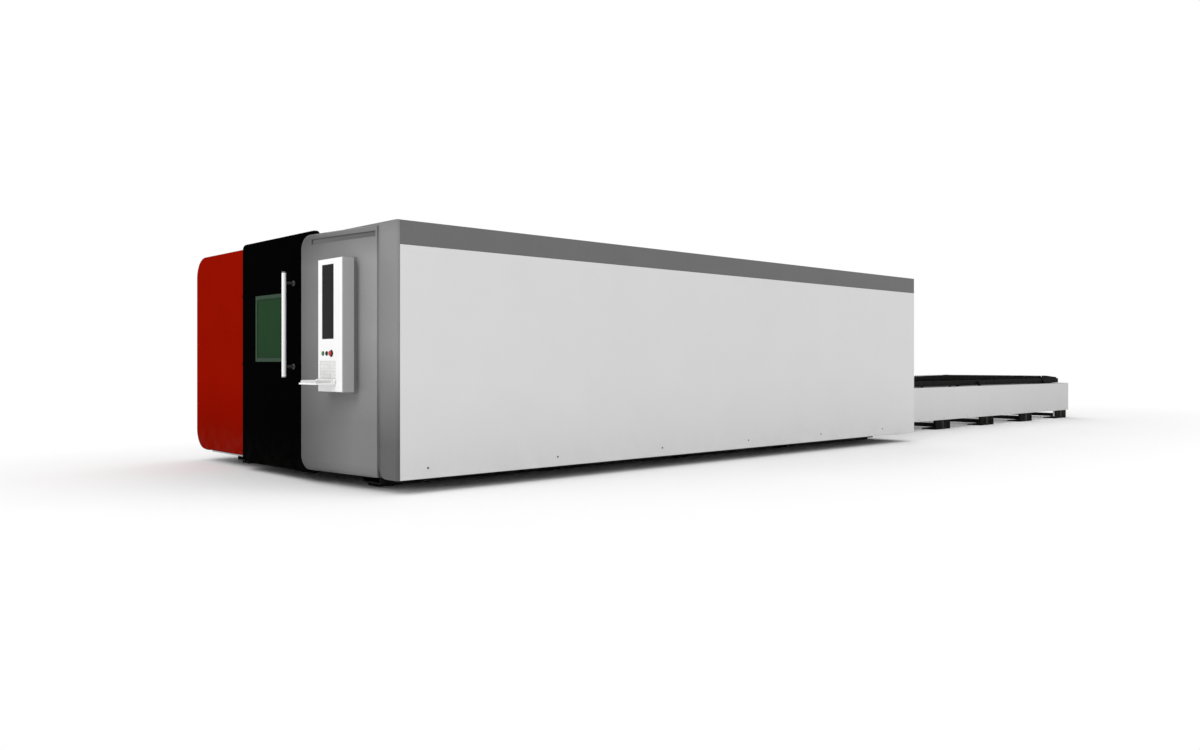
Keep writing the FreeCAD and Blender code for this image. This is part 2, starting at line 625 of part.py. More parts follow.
def door_hanger():
    """Two hooked arms that reach over the header to guide blocks on the rail behind it."""
    plate_bottom = "enclosure_top + header_gap"
    block_half = "(rail_width / 2 + running_gap + guide_block)"
    plate_y = "door_face + skin + hanger_offset"
    arms = []
    for x in ("hanger_inset", "door_width - hanger_inset - hanger_width"):
        start = f"door_x + {x}"
        arms.append(box((start, "door_face + skin", f"{plate_bottom} - hanger_drop"),
                        ("hanger_width", "hanger_flange", "hanger_drop")))
        arms.append(box((start, plate_y, plate_bottom),
                        ("hanger_width", f"rail_middle + {block_half} - ({plate_y})", "hanger_plate")))
        arms.append(box((start, f"rail_middle - {block_half}", "rail_top + running_gap"),
                        ("hanger_width", f"{block_half} * 2", f"{plate_bottom} - rail_top - running_gap")))
        for y in (f"rail_middle - {block_half}", "rail_middle + rail_width / 2 + running_gap"):
            arms.append(box((start, y, "rail_top - rail_height / 2"),
                            ("hanger_width", "guide_block", "rail_height / 2 + running_gap")))
    fuse(arms, "door_hanger")


def door_guides():
    box(("-half_width + rail_end_gap", "front + rail_setback", "roof_top"),
        ("door_rail_length", "rail_width", "rail_height"), "door_rail")
    box(("-half_width + portal_round + guide_bar_start", "front + guide_setback",
         "panel_bottom - guide_bar_height"),
        ("door_rail_length + rail_end_gap - portal_round - guide_bar_end", "guide_bar",
         "guide_bar_height"), "door_lower_guide")


# ---------------------------------------------------------------- operator console

def console(panel_form):
    """Shallow cabinet on a side hinge, with its bracket on the bulged panel."""
    body = add("PartDesign::Body", "console_case")
    depth = mm("console_depth")
    pad(body, rectangle(body, "XZ_Plane", None, ("console_width", "console_height"), "outline"),
        "console_depth")
    round_edges(body, "console_edge", lambda b: flat(b, "Y", -depth))
    round_edges(body, "hinge_inset", lambda b: flat(b, "X", 0) and flat(b, "Y", 0) and b.ZLength > 1)
    pocket(body, rectangle(body, "XZ_Plane", ("hinge_inset", "skin"),
                           ("console_width - hinge_inset - skin", "console_height - skin * 2"), "cavity"),
           "console_depth - skin", reverse=True)
    place(body, ("console_x", "console_back", "console_bottom"))

    top = "console_bottom + console_height"
    inside = "console_front + skin"
    hinge_x, hinge_y = "console_x + hinge_inset", "console_back - hinge_inset"
    boss = "hinge_inset * 2 - skin"
    parts = [body,
             box(("console_x + hinge_inset", "console_back - skin", "console_bottom + skin"),
                 ("console_width - hinge_inset - skin", "skin", "console_height - skin * 2")),
             box(("console_x + skin", inside, "console_bottom + skin"),
                 ("console_width - skin * 2", "bezel_plate", "console_height - skin * 2")),
             box(("console_x + start_at - boss_margin", inside, "button_z - boss_margin"),
                 ("stop_at - start_at + boss_margin * 2", "boss_depth", "boss_margin * 2"))]
    for z in ("console_bottom + skin", f"{top} - skin - boss_depth"):
        parts.append(box(("console_x + skin", f"{hinge_y} - {boss} / 2", z), (boss, boss, "boss_depth")))
    for x in ("tray_x - lug_width", "tray_x + tray_width + lug_gap"):
        low = "tray_axis_z - ear_radius"
        parts.append(rod((x, "tray_axis_y", "tray_axis_z"), "ear_radius", "lug_width - lug_gap", "x"))
        parts.append(box((x, "tray_axis_y", low),
                         ("lug_width - lug_gap", "tray_axis_gap + skin", "ear_radius * 2")))
    pin = "lug_width + tray_ear"
    parts.append(rod(("tray_x - lug_width", "tray_axis_y", "tray_axis_z"), "tray_pin", pin, "x"))
    parts.append(rod(("tray_x + tray_width - tray_ear", "tray_axis_y", "tray_axis_z"), "tray_pin", pin, "x"))

    tools = [box(("console_x + screen_left", "console_front", "console_bottom + screen_bottom"),
                 ("screen_width", "screen_recess", "screen_height")),
             box(("console_x + pad_left", "console_front", "console_bottom + pad_bottom"),
                 ("pad_width", "pad_recess", "pad_height"))]
    for at in ("start_at", "feed_at", "stop_at"):
        x = f"console_x + {at}"
        tools.append(rod((x, "console_front", "button_z"), "button_radius + button_slack",
                         "counterbore", "y"))
        tools.append(rod((x, "console_front", "button_z"), "button_stem + button_slack",
                         "boss_depth + bezel_plate", "y"))
    for z in ("console_bottom", f"{top} - pin_engagement - skin"):
        tools.append(rod((hinge_x, hinge_y, z), "hinge_pin + button_slack", "pin_engagement + skin"))
    cut(fuse(parts), tools, "console_housing")
    box(("console_x + screen_left", "console_front + screen_recess - screen_thickness",
         "console_bottom + screen_bottom"), ("screen_width", "screen_thickness", "screen_height"),
        "console_screen")

    arms = [box(("console_x + bracket_inset", "console_back + bracket_gap", "console_bottom - hinge_arm"),
                ("console_width - bracket_inset * 2", "console_standoff - bulge_right",
                 "console_height + hinge_arm * 2"))]
    for z in ("console_bottom - hinge_arm", f"{top} + running_gap"):
        arms.append(box(("console_x", f"{hinge_y} - hinge_inset", z),
                        ("bracket_inset * 3", "hinge_inset * 2 + hinge_arm", "hinge_arm - running_gap")))
    arms.append(rod((hinge_x, hinge_y, "console_bottom - hinge_arm"), "hinge_pin",
                    "pin_engagement + hinge_arm"))
    arms.append(rod((hinge_x, hinge_y, f"{top} - pin_engagement"), "hinge_pin",
                    "pin_engagement + hinge_arm"))
    cut(fuse(arms), [panel_form], "console_bracket")


def keyboard_tray():
    """Tray that hangs between two lugs under the console and folds up against it."""
    front_edge = "console_front - tray_axis_gap - tray_length"
    parts = [box(("tray_x", front_edge, "tray_bottom"),
                 ("tray_width", "tray_length + tray_axis_gap - tray_gap", "tray_plate"))]
    ears = []
    for x in ("tray_x", "tray_x + tray_width - tray_ear"):
        parts.append(rod((x, "tray_axis_y", "tray_axis_z"), "ear_radius", "tray_ear", "x"))
        parts.append(box((x, "tray_axis_y - ear_radius", "tray_bottom"),
                         ("tray_ear", "ear_radius * 2", "tray_axis_z - tray_bottom")))
        ears.append(rod((x, "tray_axis_y", "tray_axis_z"), "tray_pin + button_slack", "tray_ear", "x"))
    cut(fuse(parts), ears, "keyboard_tray")
    box(("tray_x + keyboard_margin", f"{front_edge} + keyboard_margin / 2", "tray_bottom + tray_plate"),
        ("tray_width - keyboard_margin * 2", "tray_length - keyboard_margin * 2", "keyboard_height"),
        "keyboard")


def push_button(label, at):
    """Round head in a counterbore, on a stem that runs in the housing's boss."""
    x = f"console_x + {at}"
    fuse([rod((x, "console_front - button_head", "button_z"), "button_radius",
              "button_head + button_sink", "y"),
          rod((x, "console_front", "button_z"), "button_stem", "boss_depth", "y")], label)


def stop_button():
    """Mushroom head that stays clear of the panel when it is pressed."""
    x = "console_x + stop_at"
    fuse([rod((x, "console_front - button_head", "button_z"), "button_radius",
              "button_head + button_sink", "y"),
          rod((x, "console_front - stop_reach", "button_z"), "stop_radius", "stop_cap", "y"),
          rod((x, "console_front", "button_z"), "button_stem", "boss_depth", "y")], "emergency_stop")


# ---------------------------------------------------------------- machine bed

def machine_bed():
    beams = []
    for x in ("bed_inner", "-bed_outer"):
        beam = box((x, "bed_y", "pad_thickness"),
                   ("bed_beam_width", "bed_length", "bed_top - pad_thickness"))
        bore = box((f"{x} + bed_wall", "bed_y", "pad_thickness + bed_wall"),
                   ("bed_beam_width - bed_wall * 2", "bed_length", "bed_top - pad_thickness - bed_wall * 2"))
        beams.append(cut(beam, [bore]))
    for i in range(whole("bed_ties")):
        beams.append(box(("-bed_inner", f"bed_y + {i} * bed_tie_pitch", "tie_bottom"),
                         ("bed_inner * 2", "tie_width", "tie_height")))
    fuse(beams, "machine_bed")

    pads = []
    for i in range(whole("bed_ties")):
        y = f"bed_y + tie_width / 2 + {i} * bed_tie_pitch"
        for x in ("gantry_rail_x", "-gantry_rail_x"):
            pads.append(box((f"{x} - pad_side / 2", f"{y} - pad_side / 2", "0"),
                            ("pad_side", "pad_side", "pad_thickness")))
    group(pads, "bed_pads")

    rail = box(("gantry_rail_x - gantry_rail_width / 2", "bed_y", "bed_top"),
               ("gantry_rail_width", "bed_length", "gantry_rail_height"))
    group([rail, mirrored(rail)], "gantry_rails")
    rack = box(("rack_x", "bed_y", "bed_top"), ("rack_width", "bed_length", "rack_width"))
    group([rack, mirrored(rack)], "gantry_racks")

    track = fuse([box(("wheel_inner", "bed_y + rail_lead", "low_rail - track_height"),
                      ("deck_inner - wheel_inner", "gate_y - gate_clearance - bed_y - rail_lead",
                       "track_height")),
                  box(("wheel_inner", "bed_y + rail_lead", "low_rail - track_height - track_shelf"),
                      ("bed_inner - wheel_inner", "bed_length - rail_lead", "track_shelf"))])
    group([track, mirrored(track)], "bed_pallet_rails")

    trays = []
    for i in range(whole("scrap_count")):
        y = f"bed_y + {i} * bed_tie_pitch + tie_width / 2 + tray_space / 2"
        length = "bed_tie_pitch - tray_space"
        tray = box(("-scrap_half", y, "tie_bottom + tie_height"), ("scrap_half * 2", length, "scrap_height"))
        inside = box(("-scrap_half + skin", f"{y} + skin", "tie_bottom + tie_height + skin"),
                     ("scrap_half * 2 - skin * 2", f"{length} - skin * 2", "scrap_height"))
        trays.append(cut(tray, [inside]))
    group(trays, "scrap_trays")


# ---------------------------------------------------------------- gantry and cutting head

def gantry():
    beam = box(("-beam_half", "gantry_y - beam_depth / 2", "beam_bottom"),
               ("beam_half * 2", "beam_depth", "beam_height"))
    bore = box(("-beam_half", "gantry_y - beam_depth / 2 + beam_wall", "beam_bottom + beam_wall"),
               ("beam_half * 2", "beam_depth - beam_wall * 2", "beam_height - beam_wall * 2"))
    cut(beam, [bore], "gantry_beam")

    plate = box(("gantry_rail_x - carriage_width / 2", "gantry_y - carriage_length / 2", "carriage_bottom"),
                ("carriage_width", "carriage_length", "carriage_plate"))
    blocks = []
    for y in ("gantry_y - carriage_length / 2", "gantry_y"):
        for x in ("gantry_rail_x - gantry_rail_width / 2 - running_gap - guide_block",
                  "gantry_rail_x + gantry_rail_width / 2 + running_gap"):
            blocks.append(box((x, y, "carriage_bottom - guide_block"),
                              ("guide_block", "block_length", "guide_block")))
    hole = rod(("pinion_x", "motor_y + motor_width / 2", "carriage_bottom"), "pinion_shaft + shaft_gap",
               "carriage_plate")
    carriage = cut(fuse([plate] + blocks), [hole])
    arm = box(("beam_half", "gantry_y - chain_width / 2", "carriage_bottom"),
              ("bed_outer + chain_bay - beam_half + chain_width", "chain_width", "arm_thickness"))
    group([fuse([carriage, arm]), mirrored(carriage)], "gantry_end_carriages")

    rails = []
    for z in ("cross_rail_low", "cross_rail_high"):
        rails.append(box(("-cross_rail_length / 2", "gantry_y - beam_depth / 2 - cross_rail", z),
                         ("cross_rail_length", "cross_rail", "cross_rail")))
    group(rails, "cross_rails")

    motor = fuse([box(("pinion_x - motor_width / 2", "motor_y", "beam_bottom"),
                      ("motor_width", "motor_width", "motor_height")),
                  rod(("pinion_x", "motor_y + motor_width / 2", "bed_top + skin"), "pinion_shaft",
                      "beam_bottom - bed_top"),
                  rod(("pinion_x", "motor_y + motor_width / 2", "bed_top + skin"), "pinion_radius",
                      "pinion_height")])
    group([motor, mirrored(motor)], "gantry_motors")


def cutting_head():
    """Carriage that crosses the beam, and the vertical slide with the cutting head."""
    plate_y = "saddle_y - saddle_plate"
    parts = [box(("-saddle_width / 2", plate_y, "saddle_bottom"),
                 ("saddle_width", "saddle_plate", "saddle_height"))]
    for rail in ("cross_rail_low", "cross_rail_high"):
        for z in (f"{rail} - running_gap - hook", f"{rail} + cross_rail + running_gap"):
            parts.append(box(("-saddle_width / 2", "saddle_y", z), ("saddle_width", "hook", "hook")))
    for x in ("-saddle_width / 2", "saddle_width / 2 - cheek"):
        parts.append(box((x, f"{plate_y} - cheek_depth", "saddle_bottom"), ("cheek", "cheek_depth",
                                                                           "saddle_height")))
    top = "saddle_bottom + saddle_height"
    parts.append(box(("-saddle_width / 2", f"{plate_y} - cheek_depth", top),
                     ("saddle_width", "cheek_depth + saddle_plate", "arm_thickness")))
    parts.append(box(("-head_motor", f"{plate_y} - cheek_depth / 2 - head_motor", f"{top} + arm_thickness"),
                     ("head_motor * 2", "head_motor * 2", "head_motor_height")))
    for x in ("-slide_width / 3", "slide_width / 3 - slide_rail"):
        parts.append(box((x, f"{plate_y} - slide_rail", "saddle_bottom"),
                         ("slide_rail", "slide_rail", "saddle_height")))
    fuse(parts, "head_carriage")

    slide_low = "head_rest + head_radius * 2"
    shoes = [box(("-slide_width / 2", "slide_y - slide_plate", slide_low),
                 ("slide_width", "slide_plate", "slide_height"))]
    for x in ("-slide_width / 3 - running_gap - slide_shoe", "slide_width / 3 + running_gap"):
        shoes.append(box((x, "slide_y", slide_low), ("slide_shoe", "slide_rail / 2", "slide_height")))
    for z in ("clamp_low", "clamp_high"):
        shoes.append(box(("-head_radius - clamp_side", "head_y - head_radius / 2", f"head_rest + {z}"),
                         ("(head_radius + clamp_side) * 2", "head_reach + head_radius / 2",
                          "clamp_height")))
    body = rod(("0", "head_y", "head_rest + nozzle_length"), "head_radius", "head_length")
    cut(fuse(shoes), [body], "head_slide")
    barrel = rod(("0", "head_y", "head_rest + nozzle_length"), "head_radius", "head_length")
    nozzle = cone(("0", "head_y", "head_rest"), "nozzle_tip", "nozzle_root", "nozzle_length")
    collar = rod(("0", "head_y", "head_rest + nozzle_length + head_length"), "collar_radius",
                 "nozzle_length")
    fuse([barrel, nozzle, collar], "laser_head")


def cable_chain():
    """Chain on its trough beside the right beam, bent back to the gantry's arm."""
    x = "bed_outer + chain_bay"
    mid = "carriage_bottom - chain_gap - chain_depth / 2 - chain_bend"
    low = f"{mid} - chain_bend - chain_depth / 2"
    bend_y = "gantry_y + chain_bend + chain_width / 2"
    ring = cut(rod((x, bend_y, mid), "chain_bend + chain_depth / 2", "chain_width", "x"),
               [rod((x, bend_y, mid), "chain_bend - chain_depth / 2", "chain_width", "x"),
                box((x, f"{bend_y} - chain_bend * 2", f"{mid} - chain_bend * 2"),
                    ("chain_width", "chain_bend * 2", "chain_bend * 4"))])
    fuse([ring,
          box((x, f"{bend_y} - chain_length", low), ("chain_width", "chain_length", "chain_depth")),
          box((x, f"{bend_y} - chain_bend - chain_width", f"{mid} + chain_bend - chain_depth / 2"),
              ("chain_width", "chain_bend + chain_width", "chain_depth")),
          box(("bed_outer", f"{bend_y} - chain_length", f"{low} - arm_thickness"),
              ("chain_bay + chain_width + arm_thickness", "chain_length + chain_bend", "arm_thickness"))],
         "cable_chain")


# ---------------------------------------------------------------- pallets

def slat_profile():
    """Outline of one toothed slat, seen from the front, with its foot at height zero."""
    half = mm("slat_inner") - mm("slat_end_gap")
    high, deep = mm("slat_height"), mm("tooth_depth")
    pitch = 2 * half / whole("slat_teeth")
    points = [vector(-half, 0, 0), vector(half, 0, 0), vector(half, 0, high - deep)]
    for i in range(whole("slat_teeth")):
        right = half - i * pitch
        points.append(vector(right - pitch / 2, 0, high))
        points.append(vector(right - pitch, 0, high - deep))
    profile = add("Part::Polygon")
    profile.Nodes = points
    profile.Close = True
    return profile


def slat_field(label, start, bottom):
    profile = slat_profile()
    slats = []
    for i in range(whole("slat_count")):
        slat = add("Part::Extrusion")
        slat.Base = profile
        slat.DirMode = "Custom"
        slat.Dir = vector(0, 1, 0)
        slat.Solid = True
        slat.setExpression("LengthFwd", words("slat_thickness"))
        place(slat, ("0", f"{start} + first_slat + {i} * slat_pitch", bottom))
        slats.append(slat)
    group(slats, label)


def pallet_frame(label, start, bottom):
    """Side rails, cross ties, slat ledges and axle bores; start is its front end."""
    parts = []
    for x in ("slat_inner", "-pallet_half"):
        parts.append(box((x, start, bottom), ("pallet_rail", "pallet_length", "pallet_rail_height")))
    ledge_z = f"{bottom} + pallet_rail_height + slat_rise - slat_height - slat_thickness"
    for x in ("slat_inner - slat_ledge", "-slat_inner"):
        parts.append(box((x, start, ledge_z), ("slat_ledge", "pallet_length", "slat_thickness")))
    for i in range(whole("pallet_ties")):
        y = f"{start} + {i} * (pallet_length - pallet_rail) / (pallet_ties - 1)"
        parts.append(box(("-slat_inner", y, bottom), ("slat_inner * 2", "pallet_rail", "pallet_tie_height")))
    bores = []
    for i in range(3):
        y = f"{start} + axle_inset + {i} * axle_pitch"
        bores.append(rod(("-pallet_half", y, f"{bottom} + axle_height"), "axle_radius + axle_clearance",
                         "pallet_half * 2", "x"))
    cut(fuse(parts), bores, label)


def wheelset(y, z, label=None):
    span = "wheel_inner + wheel_width"
    parts = [rod((f"-({span})", y, z), "axle_radius", f"({span}) * 2", "x")]
    for x in ("wheel_inner", f"-({span})"):
        parts.append(rod((x, y, z), "wheel_radius", "wheel_width", "x"))
    return fuse(parts, label)


def pallets():
    low = "top_frame_bottom - deck_pitch"
    pallet_frame("shuttle_pallet_frame", "shuttle_rest", low)
    slat_field("shuttle_pallet_slats", "shuttle_rest", "top_tips - slat_height - deck_pitch")
    for i, name in enumerate(("front", "middle", "rear")):
        wheelset(f"shuttle_rest + axle_inset + {i} * axle_pitch", f"{low} + axle_height", f"wheelset_{name}")
    pallet_frame("top_pallet_frame", "pallet_rest", "top_frame_bottom")
    slat_field("top_pallet_slats", "pallet_rest", "top_tips - slat_height")
    group([wheelset(f"pallet_rest + axle_inset + {i} * axle_pitch", "top_frame_bottom + axle_height")
           for i in range(3)], "top_pallet_wheelsets")


# ---------------------------------------------------------------- exchange table

def lift_deck():
    """Two-level deck, bolted up from bars, that carries both pallets and moves by one level."""
    bottom = "low_rail - lower_beam_height"
    bars = []
    for x, ledge_x in (("deck_inner", "wheel_inner"), ("-deck_outer", "-deck_inner")):
        bars.append(box((x, "deck_front", bottom), ("deck_beam", "deck_length", "lower_beam_height")))
        bars.append(box((x, "deck_front", "top_rail - deck_beam_height"),
                        ("deck_beam", "deck_length", "deck_beam_height")))
        for rail in ("low_rail", "top_rail"):
            bars.append(box((ledge_x, "deck_front", f"{rail} - ledge"),
                            ("deck_inner - wheel_inner", "deck_length", "ledge")))
        for i in range(whole("deck_posts")):
            bars.append(box((x, f"deck_front + {i} * deck_post_pitch", "low_rail"),
                            ("deck_beam", "deck_tie", "deck_pitch - deck_beam_height")))
    for i in range(whole("deck_posts")):
        bars.append(box(("-deck_inner", f"deck_front + {i} * deck_post_pitch", bottom),
                        ("deck_inner * 2", "deck_tie", "deck_tie_height")))
    for _, middle, _ in lift_rows():
        for x in ("deck_outer", "-cylinder_x - cylinder_radius"):
            bars.append(box((x, f"{middle} - cylinder_radius", "rod_top"),
                            ("cylinder_x + cylinder_radius - deck_outer", "cylinder_radius * 2",
                             "lug_height")))
    group(bars, "lift_deck")
    drive_y = "deck_front + deck_length - deck_tie"
    low = "low_rail - lower_beam_height + deck_tie_height"
    fuse([box(("-drive_width", drive_y, low), ("drive_width * 2", "deck_tie", "arm_thickness")),
          box(("-drive_width", drive_y, low), ("drive_width", "deck_tie", "drive_height")),
          rod(("0", f"{drive_y} + deck_tie / 2", f"{low} + drive_height / 2"), "drive_radius",
              "drive_width", "x"),
          box(("drive_width - deck_beam", drive_y, low), ("deck_beam", "deck_tie", "drive_height"))],
         "shuttle_drive")


def lift_rows():
    """For the first and last foot rows: the row, its cylinders, the start of their seat strip."""
    first, last = (f"foot_y + {i} * foot_pitch" for i in (0, whole("foot_rows") - 1))
    before_last = f"{last} - cylinder_offset"
    return [(first, f"{first} + cylinder_offset", first), (last, before_last, before_last)]


def lift_cylinders():
    """Four cylinders on the table's base plates, and the rods that push the deck's lugs."""
    tubes, rods = [], []
    for _, y, _ in lift_rows():
        for x in ("cylinder_x", "-cylinder_x"):
            tube = rod((x, y, "cylinder_bottom"), "cylinder_radius", "cylinder_top - cylinder_bottom")
            bore = rod((x, y, "cylinder_bottom + rod_radius"), "cylinder_bore",
                       "cylinder_top - cylinder_bottom")
            tubes.append(cut(tube, [bore]))
            rods.append(rod((x, y, "cylinder_top - cylinder_radius * 2"), "rod_radius",
                            "rod_top - cylinder_top + cylinder_radius * 2"))
    group(tubes, "lift_cylinders")
    group(rods, "lift_rods")


def exchange_table():
    """Fixed frame of the exchange table: posts, chords, ties, feet, covers and lift guides."""
    beams, feet, guides = [], [], []
    end = "table_end - skin"
    for x in ("table_inner", "-table_outer"):
        beams.append(box((x, "rear", "cover_top - chord_height"), ("table_bar", f"{end} - rear",
                                                                  "chord_height")))
        beams.append(box((x, "rear", "cover_bottom"), ("table_bar", "chord_height",
                                                      "cover_top - cover_bottom")))
        beams.append(box((x, f"{end} - table_post", "cover_bottom"),
                         ("table_bar", "table_post", "cover_top - cover_bottom")))
    for x in ("table_outer - lower_chord", "-table_outer"):
        beams.append(box((x, "rear", "cover_bottom"), ("lower_chord", f"{end} - rear",
                                                      "lower_chord_height")))
    beams.append(box(("-table_outer", f"{end} - table_bar", "cover_top - chord_height"),
                     ("table_outer * 2", "table_bar", "chord_height")))
    beams.append(box(("-table_outer", f"{end} - table_bar", "cover_bottom"),
                     ("table_outer * 2", "table_bar", "chord_height")))
    for i in range(whole("foot_rows")):
        y = f"foot_y + {i} * foot_pitch"
        beams.append(box(("-table_inner", f"{y} - cross_tie / 2", "tie_floor"),
                         ("table_inner * 2", "cross_tie", "cross_tie")))
        for x, plate_x in (("table_inner", "table_outer - foot_width"), ("-table_outer", "-table_outer")):
            beams.append(box((x, f"{y} - table_post / 2", "foot_plate"),
                             ("table_bar", "table_post", "cover_top - foot_plate")))
            foot = [box((plate_x, f"{y} - foot_length / 2", "0"),
                        ("foot_width", "foot_length", "foot_plate"))]
            for side in ("-foot_length / 2", "table_post / 2"):
                foot.append(box((x, f"{y} + {side}", "foot_plate"),
                                ("table_bar", "(foot_length - table_post) / 2",
                                 "cover_bottom - foot_plate")))
            feet.append(fuse(foot))
    seat_height = "cylinder_bottom - tie_floor"
    for row, middle, strip_y in lift_rows():
        for x, strip_x in (("cylinder_seat", "cylinder_seat"), ("-table_outer", "-table_inner")):
            beams.append(box((x, f"{middle} - table_post / 2", "tie_floor"),
                             ("table_outer - cylinder_seat", "table_post", seat_height)))
            beams.append(box((strip_x, strip_y, "tie_floor"),
                             ("table_inner - cylinder_seat", "cylinder_offset", seat_height)))
        for x in ("deck_outer + guide_slack", "-table_inner"):
            guides.append(box((x, f"{row} - guide_bar_width / 2", "guide_low"),
                              ("table_inner - deck_outer - guide_slack", "guide_bar_width",
                               "cover_top - guide_low")))
    fuse(beams, "table_frame")
    group(feet, "table_feet")
    group(guides, "lift_guides")

    high = "cover_top - cover_bottom"
    sheets = [box((x, "rear", "cover_bottom"), ("skin", "table_end - rear", high))
              for x in ("table_outer", "-table_half")]
    sheets.append(box(("-table_outer", end, "cover_bottom"), ("table_outer * 2", "skin", high)))
    fuse(sheets, "table_covers")


def rear_gate():
    """Vertically moving gate in front of the pallet opening, shown raised, and its channels."""
    box(("-gate_half", "gate_y", "gate_bottom"), ("gate_half * 2", "gate_thickness", "gate_height"),
        "rear_gate")
    x = "gate_half - gate_thickness"
    bottom = "gate_bottom - gate_lift"
    channel = box((x, "gate_y - channel_gap - channel_leg", bottom),
                  ("channel_width", "rear - skin - gate_y + channel_gap + channel_leg",
                   "gate_lift + gate_height"))
    slot = box((x, "gate_y - channel_gap", bottom),
               ("gate_thickness + channel_gap", "gate_thickness + channel_gap * 2",
                "gate_lift + gate_height"))
    guide = cut(channel, [slot])
    group([guide, mirrored(guide)], "gate_guides")


# ---------------------------------------------------------------- equipment in the side bays

def bay_equipment():
    bay_x = "-frame_outer + frame_tube + bay_gap"
    box((bay_x, "front + source_setback", "floor_top"), ("cabinet_depth", "source_length", "source_height"),
        "laser_source")
    box((bay_x, "front + electrical_setback", "floor_top"),
        ("cabinet_depth", "electrical_length", "electrical_height"), "electrical_cabinet")

    plenum_y = "duct_y + duct_width / 2 - duct_length"
    plenum = box(("duct_x - duct_width / 2", plenum_y, "floor_top"),
                 ("duct_width", "duct_length", "duct_height"))
    riser = rod(("duct_x", "duct_y", "floor_top + duct_height / 2"), "duct_radius - spigot_lip",
                "enclosure_top - skin - floor_top - duct_height / 2")
    spigot = rod(("duct_x", "duct_y", "enclosure_top - skin - spigot_height"), "duct_radius",
                 "spigot_height")
    hollow_box = box(("duct_x - duct_width / 2 + skin", f"{plenum_y} + skin", "floor_top + skin"),
                     ("duct_width - skin * 2", "duct_length - skin * 2", "duct_height - skin * 2"))
    hollow_riser = rod(("duct_x", "duct_y", "floor_top + duct_height / 2"),
                       "duct_radius - spigot_lip - skin", "enclosure_top")
    cut(fuse([plenum, riser, spigot]), [fuse([hollow_box, hollow_riser])], "fume_duct")


# ---------------------------------------------------------------- build, check and export

enclosure_frame()
wall_pans()
panel_form = front_panels()
front_door()
door_guides()
console(panel_form)
keyboard_tray()
push_button("start_button", "start_at")
push_button("feed_button", "feed_at")
stop_button()
machine_bed()
gantry()
cutting_head()
cable_chain()
pallets()
lift_deck()
lift_cylinders()
exchange_table()
rear_gate()
bay_equipment()
doc.recompute()

NODES = """
machine_bed bed_pads enclosure_frame front_frame right_side_panel left_side_panel side_top_bands
roof_panels rear_wall front_left_panel front_right_panel door_rail door_lower_guide gate_guides
gantry_rails gantry_racks bed_pallet_rails scrap_trays fume_duct laser_source electrical_cabinet
cable_chain console_bracket table_frame table_covers table_feet lift_guides lift_cylinders
door_panel door_hanger window_frame window_glass door_handle handle_standoffs
console_housing console_screen keyboard_tray keyboard start_button feed_button emergency_stop
gantry_beam gantry_end_carriages cross_rails gantry_motors head_carriage head_slide laser_head
rear_gate shuttle_pallet_frame shuttle_pallet_slats wheelset_front wheelset_middle wheelset_rear
lift_deck lift_rods shuttle_drive top_pallet_frame top_pallet_slats top_pallet_wheelsets
""".split()

for item in doc.Objects:
    if {"Invalid", "Error"} & set(item.State):
        raise RuntimeError(f"{item.Label} did not rebuild: {item.State}")

os.makedirs("parts", exist_ok=True)
for name in NODES:
    piece = doc.getObjectsByLabel(name)[0]
    if piece.Shape.isNull() or not piece.Shape.isValid():
        raise RuntimeError(f"{name} has no valid solid")
    piece.Shape.exportStep(f"parts/{name}.step")
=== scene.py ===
import math
import bmesh
import bpy
from mathutils import Matrix, Vector


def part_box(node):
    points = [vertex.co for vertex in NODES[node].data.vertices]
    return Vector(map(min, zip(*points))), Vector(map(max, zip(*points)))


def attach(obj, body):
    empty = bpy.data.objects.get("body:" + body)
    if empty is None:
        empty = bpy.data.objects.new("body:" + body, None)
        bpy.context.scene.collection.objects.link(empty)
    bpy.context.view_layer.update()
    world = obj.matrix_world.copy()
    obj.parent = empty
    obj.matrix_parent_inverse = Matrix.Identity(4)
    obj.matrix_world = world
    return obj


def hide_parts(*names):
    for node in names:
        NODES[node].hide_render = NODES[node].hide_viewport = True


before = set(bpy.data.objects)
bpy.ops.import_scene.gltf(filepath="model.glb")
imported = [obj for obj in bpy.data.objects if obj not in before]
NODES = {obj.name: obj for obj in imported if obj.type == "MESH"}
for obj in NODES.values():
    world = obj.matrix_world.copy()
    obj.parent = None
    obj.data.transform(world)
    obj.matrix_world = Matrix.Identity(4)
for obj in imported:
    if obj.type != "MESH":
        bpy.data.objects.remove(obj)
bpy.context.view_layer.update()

# The looks of an enclosed laser cutting machine. Metres, row frame: +X right, +Y away from the front
# door, +Z up. The pieces added here take their places from the boxes of the nodes that carry them.

X, Y, Z = 0, 1, 2
SIDES = ((-1, "-X"), (1, "X"))    # each side's sign, and the direction that faces out of it
NOISE_SPAN = (0.3, 0.7)           # most of a noise's values lie between these
SHARP_ANGLE = math.radians(32)    # an edge that turns by more is a sharp one


def low(node):
    return Vector(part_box(node)[0])


def high(node):
    return Vector(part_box(node)[1])


def spaced(start, end, count):
    """Evenly spaced places from start to end, both among them."""
    return [start + i * (end - start) / (count - 1) for i in range(count)]


FRONT = low("front_frame").y

# ------------------------------------------------------------------ material helpers


